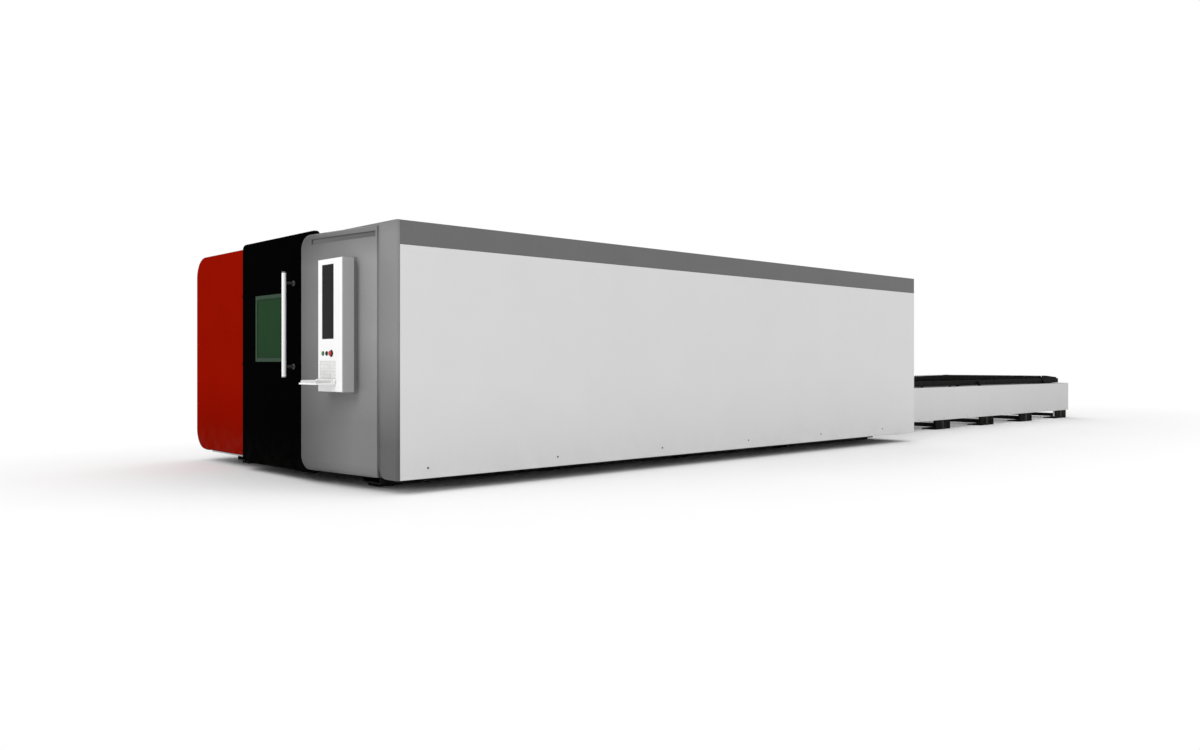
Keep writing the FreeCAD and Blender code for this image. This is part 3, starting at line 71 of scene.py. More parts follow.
class Graph:
    """A material's node tree with short ways to add and join nodes."""

    def __init__(self, name):
        self.material = bpy.data.materials.new(name)
        self.material.use_nodes = True
        self.tree = self.material.node_tree
        self.tree.nodes.clear()
        self.out = self.node("ShaderNodeOutputMaterial")
        self.shader = self.node("ShaderNodeBsdfPrincipled")
        self.join(self.shader.outputs[0], self.out.inputs["Surface"])
        self.place = self.node("ShaderNodeTexCoord").outputs["Object"]

    def node(self, kind, **values):
        made = self.tree.nodes.new(kind)
        for key, value in values.items():
            setattr(made, key, value)
        return made

    def join(self, start, end):
        self.tree.links.new(start, end)

    def noise(self, scale, detail=3.0, rough=0.5, stretch=None):
        made = self.node("ShaderNodeTexNoise")
        made.inputs["Scale"].default_value = scale
        made.inputs["Detail"].default_value = detail
        made.inputs["Roughness"].default_value = rough
        source = self.place
        if stretch:
            mapping = self.node("ShaderNodeMapping")
            mapping.inputs["Scale"].default_value = stretch
            self.join(source, mapping.inputs["Vector"])
            source = mapping.outputs[0]
        self.join(source, made.inputs["Vector"])
        return made.outputs[0]

    def ramp(self, source, start, end, low_value=0.0, high_value=1.0):
        made = self.node("ShaderNodeMapRange")
        for key, value in (("From Min", start), ("From Max", end), ("To Min", low_value),
                           ("To Max", high_value)):
            made.inputs[key].default_value = value
        self.join(source, made.inputs["Value"])
        return made.outputs[0]

    def maths(self, kind, first, second):
        made = self.node("ShaderNodeMath", operation=kind)
        for socket, value in zip(made.inputs, (first, second)):
            if isinstance(value, (int, float)):
                socket.default_value = value
            else:
                self.join(value, socket)
        return made.outputs[0]

    def times(self, first, second):
        return self.maths("MULTIPLY", first, second)

    def mix(self, factor, first, second):
        """Mixes two colours, each a triple or a colour socket."""
        made = self.node("ShaderNodeMix", data_type="RGBA")
        self.join(factor, made.inputs[0])
        for socket, value in ((made.inputs[6], first), (made.inputs[7], second)):
            if isinstance(value, tuple):
                socket.default_value = (*value, 1.0)
            else:
                self.join(value, socket)
        return made.outputs[2]

    def drift(self, noise, color, darker, lighter):
        """The colour between a darker and a lighter tone of itself, by a noise."""
        return self.mix(self.ramp(noise, *NOISE_SPAN), shade(color, darker), shade(color, lighter))

    def edges(self, radius):
        """1 on edges and corners, 0 on flat faces."""
        flat, edge = 0.995, 0.85
        bevel = self.node("ShaderNodeBevel", samples=4)
        bevel.inputs["Radius"].default_value = radius
        dot = self.node("ShaderNodeVectorMath", operation="DOT_PRODUCT")
        self.join(bevel.outputs[0], dot.inputs[0])
        self.join(self.node("ShaderNodeNewGeometry").outputs["Normal"], dot.inputs[1])
        return self.ramp(dot.outputs["Value"], flat, edge)

    def along(self, axis):
        split = self.node("ShaderNodeSeparateXYZ")
        self.join(self.place, split.inputs[0])
        return split.outputs[axis]

    def tint(self, source, factor):
        made = self.node("ShaderNodeVectorMath", operation="SCALE")
        self.join(source, made.inputs[0])
        self.join(factor, made.inputs["Scale"])
        return made.outputs[0]

    def within(self, axis, start, end, soft=0.004):
        """1 between two places along an axis, 0 outside them."""
        place = self.along(axis)
        return self.times(self.ramp(place, start - soft, start + soft),
                          self.ramp(place, end + soft, end - soft))

    def bump(self, source, strength, distance):
        made = self.node("ShaderNodeBump")
        made.inputs["Strength"].default_value = strength
        made.inputs["Distance"].default_value = distance
        self.join(source, made.inputs["Height"])
        self.join(made.outputs[0], self.shader.inputs["Normal"])

    def rough(self, source, start, end):
        self.join(self.ramp(source, *NOISE_SPAN, start, end), self.shader.inputs["Roughness"])

    def color(self, source):
        self.join(source, self.shader.inputs["Base Color"])

    def gloss(self, level):
        self.shader.inputs["Specular IOR Level"].default_value = level


def shade(color, factor):
    return tuple(min(1.0, value * factor) for value in color)


def grey(value):
    return (value, value, value)


def paint(name, color, rough=0.42, gloss=0.5, wear=0.25, grime=0.10, cloud=0.033, fade=(), second=None,
          recess=None):
    """Powder coat or enamel: faint tone drift, orange peel, rubbed edges, dust low down, painted shade where
    asked.

    cloud is how far the tone drifts. Each painted shade entry is (axis, dark end, light end, factor):
    a tone that darkens along the axis towards its dark end. second is (axis, start, end, colour) for a
    second coat past a line. recess is (low x, high x, low z, high z) for painted shadow in a groove.
    """
    groove_shadow_factor, dust_height, dust_color, bare_tone = 0.40, 0.45, (0.20, 0.18, 0.16), 0.55
    g = Graph(name)
    tone = g.drift(g.noise(scale=1.7, detail=4.0), color, 1 - cloud, 1 + cloud)
    if second:
        axis, start, end, other = second
        tone = g.mix(g.ramp(g.along(axis), start, end), tone, other)
    # painted shade: each entry darkens the tone towards one end of an axis, where less light falls
    for axis, dark, light, factor in fade:
        tone = g.tint(tone, g.ramp(g.along(axis), dark, light, factor, 1.0))
    # painted shadow: the tone is darker within the groove, where shade falls
    if recess:
        groove_shade_mask = g.times(g.within(X, *recess[:2]), g.within(Z, *recess[2:]))
        tone = g.mix(groove_shade_mask, tone, shade(color, groove_shadow_factor))
    dust = g.times(g.ramp(g.along(Z), dust_height, 0.0),
                   g.ramp(g.noise(scale=9.0, detail=6.0, rough=0.6), 0.35, 0.75))
    tone = g.mix(g.times(dust, grime), tone, dust_color)
    rub = g.times(g.edges(radius=0.002),
                  g.ramp(g.noise(scale=38.0, detail=5.0, rough=0.6), 0.35, 0.7, 0.25, 1.0))
    rubbed = tuple(value + (bare_tone - value) * 0.35 for value in color)
    g.color(g.mix(g.times(rub, wear), tone, rubbed))
    g.rough(g.noise(scale=26.0, detail=5.0, rough=0.6), rough - 0.05, rough + 0.08)
    g.bump(g.noise(scale=420.0, detail=2.0), strength=0.12, distance=0.0006)
    g.gloss(gloss)
    return g.material


def metal(name, color, rough=0.34, grain=(1.0, 1.0, 60.0)):
    """Ground or drawn steel and aluminium: directional grain, handling stains, bright edges."""
    edge_wear, stain = 0.35, 0.25
    g = Graph(name)
    streaks = g.noise(scale=14.0, detail=6.0, rough=0.7, stretch=grain)
    base = g.drift(streaks, color, 0.82, 1.12)
    patch = g.ramp(g.noise(scale=5.0, detail=6.0, rough=0.65), 0.5, 0.78)
    base = g.mix(g.times(patch, stain), base, shade(color, 0.45))
    g.color(g.mix(g.times(g.edges(radius=0.002), edge_wear), base, shade(color, 1.7)))
    g.rough(streaks, rough - 0.08, rough + 0.14)
    g.bump(streaks, strength=0.08, distance=0.0008)
    g.shader.inputs["Metallic"].default_value = 1.0
    return g.material


def plastic(name, color, rough=0.45, gloss=0.5):
    """Moulded plastic: fine grain, and edges a little paler than the faces."""
    edge_wear, edge_lift = 0.15, 0.12
    g = Graph(name)
    base = g.drift(g.noise(scale=22.0, detail=4.0), color, 0.93, 1.05)
    paler = tuple(value + edge_lift for value in color)
    g.color(g.mix(g.times(g.edges(radius=0.0015), edge_wear), base, paler))
    g.rough(g.noise(scale=60.0, detail=4.0), rough - 0.06, rough + 0.08)
    g.bump(g.noise(scale=900.0, detail=2.0), strength=0.15, distance=0.0003)
    g.gloss(gloss)
    return g.material


def glass(name, color, rough, gloss):
    """Dark tinted pane: faint smears in its gloss."""
    g = Graph(name)
    g.color(g.drift(g.noise(scale=3.0, detail=3.0), color, 0.93, 1.06))
    g.rough(g.noise(scale=12.0, detail=6.0, rough=0.7), rough, rough + 0.07)
    g.gloss(gloss)
    return g.material


def spattered(name, color):
    """Hot-rolled steel under the beam: scale, slag beads and burnt tips."""
    rust_color, worn_color = (0.06, 0.03, 0.018), (0.09, 0.087, 0.084)
    g = Graph(name)
    patches = g.ramp(g.noise(scale=7.0, detail=7.0, rough=0.7), 0.3, 0.72)
    scale = g.mix(patches, shade(color, 0.6), shade(color, 1.5))
    rust = g.ramp(g.noise(scale=17.0, detail=6.0, rough=0.65), 0.56, 0.74)
    scale = g.mix(g.times(rust, 0.15), scale, rust_color)
    g.color(g.mix(g.times(g.edges(radius=0.0015), 0.3), scale, worn_color))
    g.rough(g.noise(scale=40.0, detail=5.0), 0.55, 0.85)
    g.bump(g.noise(scale=150.0, detail=6.0, rough=0.7), strength=0.35, distance=0.0015)
    g.gloss(0.06)
    return g.material


CONSOLE_FACE = FRONT - 0.210
CONSOLE_SIDES = (Y, CONSOLE_FACE + 0.001, CONSOLE_FACE + 0.006, grey(0.38))
# The box of the front panel's groove, where a darker tone is painted as its shadow
SHADED_GROOVE = (low("front_right_panel").x + 0.190, high("front_right_panel").x - 0.020, 2.096, 2.141)

LOOKS = {
    # painted shade: the walls and table covers darken towards the floor and towards their rear end
    "wall_grey": (paint, grey(0.662), dict(gloss=0.3, wear=0.3, cloud=0.012,
                                           fade=[(Z, 0.1, 0.9, 0.93), (Y, 8.0, 3.0, 0.89)])),
    "band_grey": (paint, (0.135, 0.135, 0.136), dict(gloss=0.2, wear=0.35)),
    # painted shade: the front frame darkens towards the floor and at its top edge
    "portal_grey": (paint, grey(0.215), dict(gloss=0.2, fade=[(Z, 0.4, 1.2, 0.42),
                                                              (Z, 2.204, 2.10, 0.85)])),
    # painted shade: the front panel darkens to the left, low down, at its bottom and top edges and in its
    # groove
    "panel_grey": (paint, (0.275, 0.275, 0.278), dict(
        rough=0.38, gloss=0.15, recess=SHADED_GROOVE,
        fade=[(X, 0.62, 1.45, 0.38), (Z, 0.55, 1.3, 0.66), (Z, 0.10, 0.22, 0.75), (Z, 2.20, 1.90, 0.52)])),
    # painted shade: the red panel darkens towards the floor
    "signal_red": (paint, (0.260, 0.0050, 0.0006), dict(rough=0.36, gloss=0.0, fade=[(Z, 0.1, 0.9, 0.80)])),
    "door_black": (paint, grey(0.0005), dict(rough=0.5, gloss=0.0008, grime=0.02, wear=0.05)),
    "frame_black": (paint, grey(0.008), dict(rough=0.5, gloss=0.1, wear=0.35)),
    "foot_black": (paint, grey(0.0022), dict(rough=0.6, gloss=0.02, wear=0.2)),
    "gloss_white": (paint, grey(0.84), dict(rough=0.34, gloss=0.4)),
    "console_white": (paint, grey(0.84), dict(rough=0.34, gloss=0.4, second=CONSOLE_SIDES)),
    "bracket_grey": (paint, grey(0.225), dict(gloss=0.2, wear=0.3)),
    "tube_grey": (paint, (0.13, 0.13, 0.135), dict(gloss=0.3, wear=0.3)),
    "post_grey": (paint, (0.040, 0.040, 0.041), dict(gloss=0.2, wear=0.2)),
    "cabinet_grey": (paint, (0.42, 0.43, 0.43), dict(wear=0.3)),
    "border_green": (paint, (0.018, 0.044, 0.024), dict(rough=0.4, gloss=0.05, wear=0.15)),
    "ground_steel": (metal, (0.50, 0.50, 0.51), dict(rough=0.28)),
    "zinc": (metal, (0.46, 0.47, 0.48), dict(rough=0.42, grain=(1.0, 1.0, 1.0))),
    "cast_aluminium": (metal, (0.60, 0.61, 0.62), dict(rough=0.38, grain=(40.0, 1.0, 1.0))),
    "screw_steel": (metal, (0.10, 0.10, 0.105), dict(rough=0.35)),
    "nozzle_copper": (metal, (0.62, 0.32, 0.18), dict(rough=0.25)),
    "burnt_steel": (spattered, (0.0115, 0.0110, 0.0106), {}),
    "wheel_steel": (spattered, grey(0.0085), {}),
    "frame_steel": (spattered, grey(0.0095), {}),
    "window_green": (glass, (0.0085, 0.038, 0.0115), dict(rough=0.06, gloss=0.01)),
    "screen_dark": (glass, (0.012, 0.012, 0.0125), dict(rough=0.12, gloss=0.027)),
    "soft_grey": (plastic, (0.60, 0.60, 0.595), {}),
    "key_grey": (plastic, (0.72, 0.72, 0.715), {}),
    "keypad_pale": (plastic, grey(0.66), {}),
    "tray_white": (plastic, grey(0.86), {}),
    "matt_black": (plastic, grey(0.010), dict(rough=0.55, gloss=0.2)),
    "bead_green": (plastic, (0.012, 0.030, 0.014), dict(rough=0.6, gloss=0.05)),
    "ceramic": (plastic, (0.78, 0.77, 0.74), dict(rough=0.35)),
    "seal_rubber": (plastic, grey(0.006), dict(rough=0.7, gloss=0.1)),
    "green_cap": (plastic, (0.010, 0.16, 0.035), dict(rough=0.3)),
    "red_cap": (plastic, (0.42, 0.010, 0.008), dict(rough=0.3)),
}
MATERIALS = {name: make(name, color, **settings) for name, (make, color, settings) in LOOKS.items()}

NODE_LOOKS = {
    "wall_grey": "right_side_panel left_side_panel rear_wall table_covers",
    "band_grey": "side_top_bands roof_panels door_hanger",
    "portal_grey": "front_frame",
    "panel_grey": "front_right_panel",
    "signal_red": "front_left_panel",
    "door_black": "door_panel",
    "frame_black": "table_frame lift_deck gate_guides rear_gate machine_bed",
    "foot_black": "table_feet bed_pads",
    "bracket_grey": "console_bracket",
    "gloss_white": "door_handle laser_source",
    "console_white": "console_housing",
    "tube_grey": "enclosure_frame",
    "post_grey": "handle_standoffs",
    "cabinet_grey": "electrical_cabinet",
    "border_green": "window_frame",
    "ground_steel": "gantry_rails gantry_racks bed_pallet_rails door_rail cross_rails lift_guides lift_rods",
    "wheel_steel": "wheelset_front wheelset_middle wheelset_rear top_pallet_wheelsets",
    "zinc": "fume_duct door_lower_guide lift_cylinders head_slide gantry_end_carriages",
    "cast_aluminium": "gantry_beam laser_head",
    "burnt_steel": "shuttle_pallet_slats top_pallet_slats scrap_trays",
    "frame_steel": "shuttle_pallet_frame top_pallet_frame",
    "window_green": "window_glass",
    "screen_dark": "console_screen",
    "tray_white": "keyboard_tray",
    "soft_grey": "keyboard",
    "matt_black": "cable_chain gantry_motors head_carriage shuttle_drive feed_button",
    "green_cap": "start_button",
    "red_cap": "emergency_stop",
}

for look, names in NODE_LOOKS.items():
    for name in names.split():
        for material_slot in NODES[name].material_slots:
            material_slot.material = MATERIALS[look]

# ------------------------------------------------------------------ mesh helpers


def rotated(quarters, axis):
    return Matrix.Rotation(quarters * math.pi / 2, 4, axis)


TURNS = {"Z": Matrix(), "Y": rotated(-1, "X"), "-Y": rotated(1, "X"), "X": rotated(1, "Y"),
         "-Z": rotated(2, "X"), "-X": rotated(-1, "Y")}


def add_object(name, data):
    made = bpy.data.objects.new(name, data)
    bpy.context.scene.collection.objects.link(made)
    return made


class Form:
    """A mesh built up from small rounded forms."""

    def __init__(self):
        self.mesh = bmesh.new()

    def merge(self, part, matrix=None):
        if matrix is not None:
            part.transform(matrix)
        scratch = bpy.data.meshes.new("scratch")
        part.to_mesh(scratch)
        part.free()
        self.mesh.from_mesh(scratch)
        bpy.data.meshes.remove(scratch)

    def block(self, start, end, round_by=0.001, matrix=None):
        """A box between two corners with rounded edges."""
        part = bmesh.new()
        bmesh.ops.create_cube(part, size=1.0)
        start, end = Vector(start), Vector(end)
        size = end - start
        part.transform(Matrix.Translation((start + end) / 2) @ Matrix.Diagonal((*size, 1.0)))
        bmesh.ops.bevel(part, geom=part.edges[:], offset=min(round_by, min(size) * 0.45),
                        segments=2, profile=0.5, affect="EDGES")
        self.merge(part, matrix)

    def turned(self, centre, profile, axis="Z", segments=24):
        """A turned form: profile is a list of (radius, distance along the axis)."""
        part = bmesh.new()
        rings = []
        for radius, along in profile:
            if radius <= 0:
                rings.append([part.verts.new((0, 0, along))])
                continue
            rings.append([part.verts.new((radius * math.cos(i * math.tau / segments),
                                          radius * math.sin(i * math.tau / segments), along))
                          for i in range(segments)])
        for first, second in zip(rings, rings[1:]):
            for i in range(segments):
                j = (i + 1) % segments
                if len(first) == 1 and len(second) > 1:
                    part.faces.new((first[0], second[i], second[j]))
                elif len(second) == 1 and len(first) > 1:
                    part.faces.new((first[i], first[j], second[0]))
                elif len(first) > 1:
                    part.faces.new((first[i], first[j], second[j], second[i]))
        bmesh.ops.recalc_face_normals(part, faces=part.faces[:])
        self.merge(part, Matrix.Translation(Vector(centre)) @ TURNS[axis])

    def prism(self, outline, shift):
        """An outline of points in one plane, extruded by a shift."""
        part = bmesh.new()
        face = part.faces.new([part.verts.new(point) for point in outline])
        grown = bmesh.ops.extrude_face_region(part, geom=[face])
        verts = [v for v in grown["geom"] if isinstance(v, bmesh.types.BMVert)]
        bmesh.ops.translate(part, verts=verts, vec=shift)
        bmesh.ops.recalc_face_normals(part, faces=part.faces[:])
        self.merge(part)

    def frame(self, start, end, width, axis=Y, round_by=0.001):
        """Four bars round a rectangle in the plane across an axis."""
        start, end = Vector(start), Vector(end)
        a, b = [i for i in range(3) if i != axis]
        for side, other in ((a, b), (b, a)):
            for at_end in (False, True):
                first, second = start.copy(), end.copy()
                if at_end:
                    first[side] = end[side] - width
                else:
                    second[side] = start[side] + width
                if side == b:
                    first[other] += width
                    second[other] -= width
                self.block(first, second, round_by)

    def data(self, name):
        """Ends the form and gives its mesh."""
        made = bpy.data.meshes.new(name)
        self.mesh.to_mesh(made)
        self.mesh.free()
        return made


class Piece(Form):
    """A form that becomes one piece of the visual model."""

    def __init__(self, name, look, body, slot):
        super().__init__()
        self.name, self.look, self.body, self.slot = name, look, body, slot

    def done(self, replaces=()):
        data = self.data(self.name)
        piece = add_object(self.name, data)
        data.materials.append(MATERIALS[self.look])
        data.shade_smooth()
        data.set_sharp_from_angle(angle=SHARP_ANGLE)
        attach(piece, self.body)
        if replaces:
            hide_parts(*replaces)
        return piece


def hex_bolts(piece, centres, axis, size=0.012, height=0.008):
    """Hexagon heads on round washers."""
    washer, washer_height, chamfer = size * 1.3, 0.0016, 0.0009
    for centre in centres:
        piece.turned(centre, [(washer, 0), (washer, 0.0012), (washer - 0.0006, washer_height),
                              (0, washer_height)], axis, 20)
        piece.turned(centre, [(size, washer_height), (size, height), (size * 0.86, height + chamfer),
                              (0, height + chamfer)], axis, 6)


def flush_screws(piece, centres, axis, radius=0.0105):
    """Countersunk heads that stand 0.4 mm proud, each with a socket."""
    proud, socket_floor = 0.0004, 0.0001
    for centre in centres:
        piece.turned(centre, [(radius, 0), (radius - 0.0006, proud), (radius * 0.45, proud),
                              (radius * 0.4, socket_floor), (0, socket_floor)], axis, 16)


def ribs(piece, start, end, count, proud=0.002):
    """Cooling ribs round an upright motor."""
    start, end = Vector(start), Vector(end)
    pitch = (end.z - start.z) / count
    for i in range(count):
        foot = start.z + i * pitch
        piece.frame((start.x - proud, start.y - proud, foot),
                    (end.x + proud, end.y + proud, foot + pitch * 0.45), proud * 2, axis=Z, round_by=0.0008)


# ------------------------------------------------------------------ enclosure

def keep_flats_flat(data):
    """Each flat face keeps its own normal, and the fold beside it runs into that normal."""
    nearly_one = 0.99999
    flats = {}
    for face in data.polygons:
        if max(abs(part) for part in face.normal) > nearly_one:
            for corner in face.vertices:
                flats.setdefault(corner, []).append(face.normal.copy())
    normals = [corner.vector.copy() for corner in data.corner_normals]
    for face in data.polygons:
        for index in face.loop_indices:
            for flat in flats.get(data.loops[index].vertex_index, ()):
                if flat.dot(face.normal) > math.cos(SHARP_ANGLE):
                    normals[index] = flat
                    break
    data.normals_split_custom_set(normals)


def drilled_panel(node, face, axis, places):
    """The node's own sheet with a countersink at each place on its outer face."""
    depth, over, radius, rim = 0.0010, 0.0020, 0.0102, 0.0118
    cutter = Form()
    for y, z in places:
        cutter.turned((face, y, z), [(0, -depth), (radius, -depth), (rim, 0.0002), (rim, over), (0, over)],
                      axis)
    tool = add_object("cutter", cutter.data("cutter"))
    sheet = Form()
    sheet.mesh.from_mesh(NODES[node].data)
    bmesh.ops.remove_doubles(sheet.mesh, verts=sheet.mesh.verts[:], dist=0.00002)
    plain = add_object("plain", sheet.data("plain"))
    drill = plain.modifiers.new("drill", "BOOLEAN")
    drill.operation = "DIFFERENCE"
    drill.solver = "EXACT"
    drill.object = tool

    panel = Piece(f"{node}_drilled", "wall_grey", "machine", "light_grey_paint")
    evaluated = plain.evaluated_get(bpy.context.evaluated_depsgraph_get())
    panel.mesh.from_mesh(bpy.data.meshes.new_from_object(evaluated))
    for scratch in (tool, plain):
        bpy.data.objects.remove(scratch)
    keep_flats_flat(panel.done(replaces=[node]).data)


def side_walls():
    """Each wall with one row of countersunk screws along its lower edge."""
    first, pitch, height = 0.29, 1.39, 0.085
    head, socket, sunk, socket_floor = 0.0100, 0.0045, -0.0002, -0.0008
    z = low("right_side_panel").z + height
    places = [(FRONT + first + i * pitch, z) for i in range(6)]
    screws = Piece("side_panel_screws", "screw_steel", "machine", "dark_grey_paint")
    for node, face, axis in (("right_side_panel", high("right_side_panel").x, "X"),
                             ("left_side_panel", low("left_side_panel").x, "-X")):
        drilled_panel(node, face, axis, places)
        for y, z in places:
            screws.turned((face, y, z), [(head, -0.0010), (head, -0.0004), (head - 0.0004, sunk),
                                         (socket, sunk), (socket - 0.0005, socket_floor), (0, socket_floor)],
                          axis, 20)
    screws.done()


def rear_wall():
    wall, wall_top = low("rear_wall"), high("rear_wall")
    margin, edge, row_end, count = 0.1, 0.04, 1.5, 6
    screws = Piece("rear_wall_screws", "screw_steel", "machine", "dark_grey_paint")
    heights = spaced(wall.z + margin, wall_top.z - margin, count)
    flush_screws(screws, [(side * (wall_top.x - edge), wall_top.y, z) for side, _ in SIDES
                          for z in heights], "Y")
    flush_screws(screws, [(x, wall_top.y, wall_top.z - edge) for x in spaced(-row_end, row_end, count)], "Y")
    screws.done()

    half = 1.12
    lintel = high("top_pallet_slats").z + 0.04
    holder = Piece("opening_brush_holder", "cast_aluminium", "machine", "cast_beam")
    holder.block((-half, wall_top.y, lintel), (half, wall_top.y + 0.009, lintel + 0.026), 0.002)
    holder.done()
    bristles, bristle_length, thickness, unevenness = 140, 0.030, 0.003, 0.002
    step = 2 * half / bristles
    y = wall_top.y + thickness
    outline = [(half, y, lintel), (-half, y, lintel)]
    for i in range(bristles):
        start = -half + i * step
        foot = lintel - bristle_length + unevenness * (i % 3)
        outline += [(start + step * 0.1, y, foot), (start + step * 0.8, y, foot),
                    (start + step * 0.95, y, lintel - 0.004)]
    brush = Piece("opening_brush", "seal_rubber", "machine", "black_plastic")
    brush.prism(outline, (0, thickness, 0))
    brush.done()


def roof():
    start, end = low("roof_panels"), high("roof_panels")
    pans, strip_inset, strip_half, strip_height = 4, 0.05, 0.03, 0.006
    pan_length = (end.y - start.y) / pans
    seams = Piece("roof_seam_strips", "band_grey", "machine", "dark_grey_paint")
    for i in range(1, pans):
        y = start.y + i * pan_length
        seams.block((start.x + strip_inset, y - strip_half, end.z),
                    (end.x - strip_inset, y + strip_half, end.z + strip_height))
    seams.done()
    screws = Piece("roof_screws", "screw_steel", "machine", "dark_grey_paint")
    flush_screws(screws, [(side * (end.x - 0.035), start.y + (i + part) * pan_length, end.z)
                          for i in range(pans) for side, _ in SIDES for part in (0.15, 0.5, 0.85)],
                 "Z", 0.009)
    screws.done()

    spigot_x, setback, drop, radius = -1.70, 0.165, 0.022, 0.150
    spigot = high("fume_duct")
    bead = Piece("spigot_bead", "zinc", "machine", "zinc_plate")
    bead.turned((spigot_x, spigot.y - setback, spigot.z - drop),
                [(radius - 0.0005, -0.004), (radius + 0.0015, -0.0025), (radius + 0.0022, 0.0),
                 (radius + 0.0015, 0.0025), (radius - 0.0005, 0.004)], "Z", 64)
    bead.done()


# ------------------------------------------------------------------ front door

def door():
    pane_low, pane_high = low("window_glass"), high("window_glass")
    bead = Piece("window_bead", "bead_green", "front_door", "black_paint")
    bead.frame((pane_low.x, pane_low.y - 0.003, pane_low.z), (pane_high.x, pane_low.y + 0.001, pane_high.z),
               0.006, round_by=0.0012)
    bead.done()

    grip_low, grip_high = low("door_handle"), high("door_handle")
    centre = (grip_low + grip_high) / 2
    caps = Piece("handle_end_caps", "matt_black", "front_door", "dark_grey_paint")
    sunk = 0.002
    for z, axis in ((grip_high.z - sunk, "Z"), (grip_low.z + sunk, "-Z")):
        caps.turned((centre.x, centre.y, z), [(0.0205, -0.006), (0.0208, 0), (0.0185, sunk), (0, sunk)],
                    axis, 32)
    caps.done()

    post_low, post_high = low("handle_standoffs"), high("handle_standoffs")
    post_radius = 0.013
    flanges = Piece("handle_flanges", "post_grey", "front_door", "dark_grey_paint")
    for z in (post_low.z + post_radius, post_high.z - post_radius):
        flanges.turned((centre.x, post_high.y, z), [(post_radius + 0.0001, 0.012), (0.016, 0.008),
                                                    (0.024, 0.006), (0.025, 0.004), (0.025, 0.0)], "-Y", 32)
    flanges.done()

    plate_low, plate_high = low("door_hanger"), high("door_hanger")
    outer, inner = 0.04, 0.20
    bolts = Piece("hanger_bolts", "ground_steel", "front_door", "machined_steel")
    hex_bolts(bolts, [(x, plate_high.y - setback, plate_high.z)
                      for x in (plate_low.x + outer, plate_low.x + inner,
                                plate_high.x - inner, plate_high.x - outer)
                      for setback in (0.035, 0.155)], "Z")
    bolts.done()


# ------------------------------------------------------------------ operator console

def key_field(piece, corner, span, counts, gaps, up, height, round_by, left_out=()):
    """Keys over a field: span, counts and gaps are pairs, for X and for the field's other axis."""
    across = Z if up == Y else Y
    step_x, step_across = span[0] / counts[0], span[1] / counts[1]
    for i in range(counts[0]):
        for j in range(counts[1]):
            if i in left_out:
                continue
            start = Vector(corner)
            start.x += i * step_x
            start[across] += j * step_across
            end = start.copy()
            end.x += step_x - gaps[0]
            end[across] += step_across - gaps[1]
            end[up] += height
            piece.block(start, end, round_by)


def console_case():
    case_low, case_high = low("console_housing"), high("console_housing")
    screws = Piece("console_back_screws", "screw_steel", "console", "dark_grey_paint")
    flush_screws(screws, [(x, case_high.y, z) for x in (case_low.x + 0.08, case_high.x - 0.06)
                          for z in spaced(case_low.z + 0.06, case_low.z + 1.05, 4)], "Y", 0.006)
    screws.done()

    screen_low, screen_high = low("console_screen"), high("console_screen")
    proud, sunk, width = 0.0005, 0.001, 0.007
    rim = Piece("screen_rim", "matt_black", "console", "dark_grey_paint")
    rim.frame((screen_low.x, CONSOLE_FACE - proud, screen_low.z),
              (screen_high.x, CONSOLE_FACE + sunk, screen_high.z), width, round_by=0.0006)
    rim.done()


def keys():
    """The keypad on the console's face and the caps of the keyboard on its tray."""
    case = low("console_housing")
    margin, recess = 0.001, 0.0012
    pad_low = Vector((case.x + 0.035, CONSOLE_FACE, case.z + 0.108))
    pad_high = pad_low + Vector((0.276, 0.003, 0.150))
    keypad = Piece("membrane_keypad", "keypad_pale", "console", "grey_plastic")
    keypad.block(pad_low + Vector((margin, recess, margin)), pad_high - Vector((margin, 0, margin)), 0.0008)
    keypad.done()
    pads = Piece("membrane_keys", "key_grey", "console", "grey_plastic")
    key_field(pads, pad_low + Vector((0.007, -0.0002, 0.006)), span=(0.262, 0.138), counts=(10, 5),
              gaps=(0.004, 0.005), up=Y, height=0.002, round_by=0.0009, left_out=(6,))
    pads.done()

    board_low, board_high = low("keyboard"), high("keyboard")
    board, margin = board_high - board_low, 0.006
    caps = Piece("keyboard_keys", "key_grey", "keyboard_shelf", "grey_plastic")
    key_field(caps, (board_low.x + margin, board_low.y + margin, board_high.z - 0.0005),
              span=(board.x - margin * 2, board.y - margin * 2), counts=(14, 5), gaps=(0.0025, 0.003), up=Z,
              height=0.0045, round_by=0.0012)
    caps.done()


# Profiles of the buttons: (radius, distance out of the console's face).
RING = [(0.0164, -0.002), (0.0164, 0.0025), (0.0185, 0.0025), (0.0203, 0.0008), (0.0203, -0.001)]
COLLAR = [(0.0116, -0.001), (0.0116, 0.0012), (0.029, 0.0012), (0.030, 0.0), (0.030, -0.001)]
DISHED_CAP = [(0, -0.030), (0.011, -0.030), (0.011, -0.004), (0.0158, -0.004), (0.0158, 0.0064),
              (0.0152, 0.0076), (0.0138, 0.008), (0.012, 0.0078), (0.0105, 0.0068), (0, 0.0062)]
MUSHROOM = [(0, -0.030), (0.011, -0.030), (0.011, 0.008), (0.0192, 0.0085), (0.0206, 0.0095),
            (0.021, 0.0115), (0.0208, 0.0145), (0.0196, 0.0175), (0.0165, 0.0192), (0.010, 0.0199),
            (0, 0.020)]


def buttons():
    rings = Piece("button_rings", "matt_black", "console", "dark_grey_paint")
    for node, part, look, slot, ring, head, segments in (
            ("start_button", "cap", "green_cap", "green_plastic", RING, DISHED_CAP, 32),
            ("feed_button", "cap", "matt_black", "black_plastic", RING, DISHED_CAP, 32),
            ("emergency_stop", "mushroom", "red_cap", "red_plastic", COLLAR, MUSHROOM, 40)):
        centre = (low(node) + high(node)) / 2
        place = (centre.x, CONSOLE_FACE, centre.z)
        rings.turned(place, ring, "-Y", segments)
        cap = Piece(f"{node}_{part}", look, node, slot)
        cap.turned(place, head, "-Y", segments)
        cap.done(replaces=[node])
    rings.done()


# ------------------------------------------------------------------ gantry and cutting head

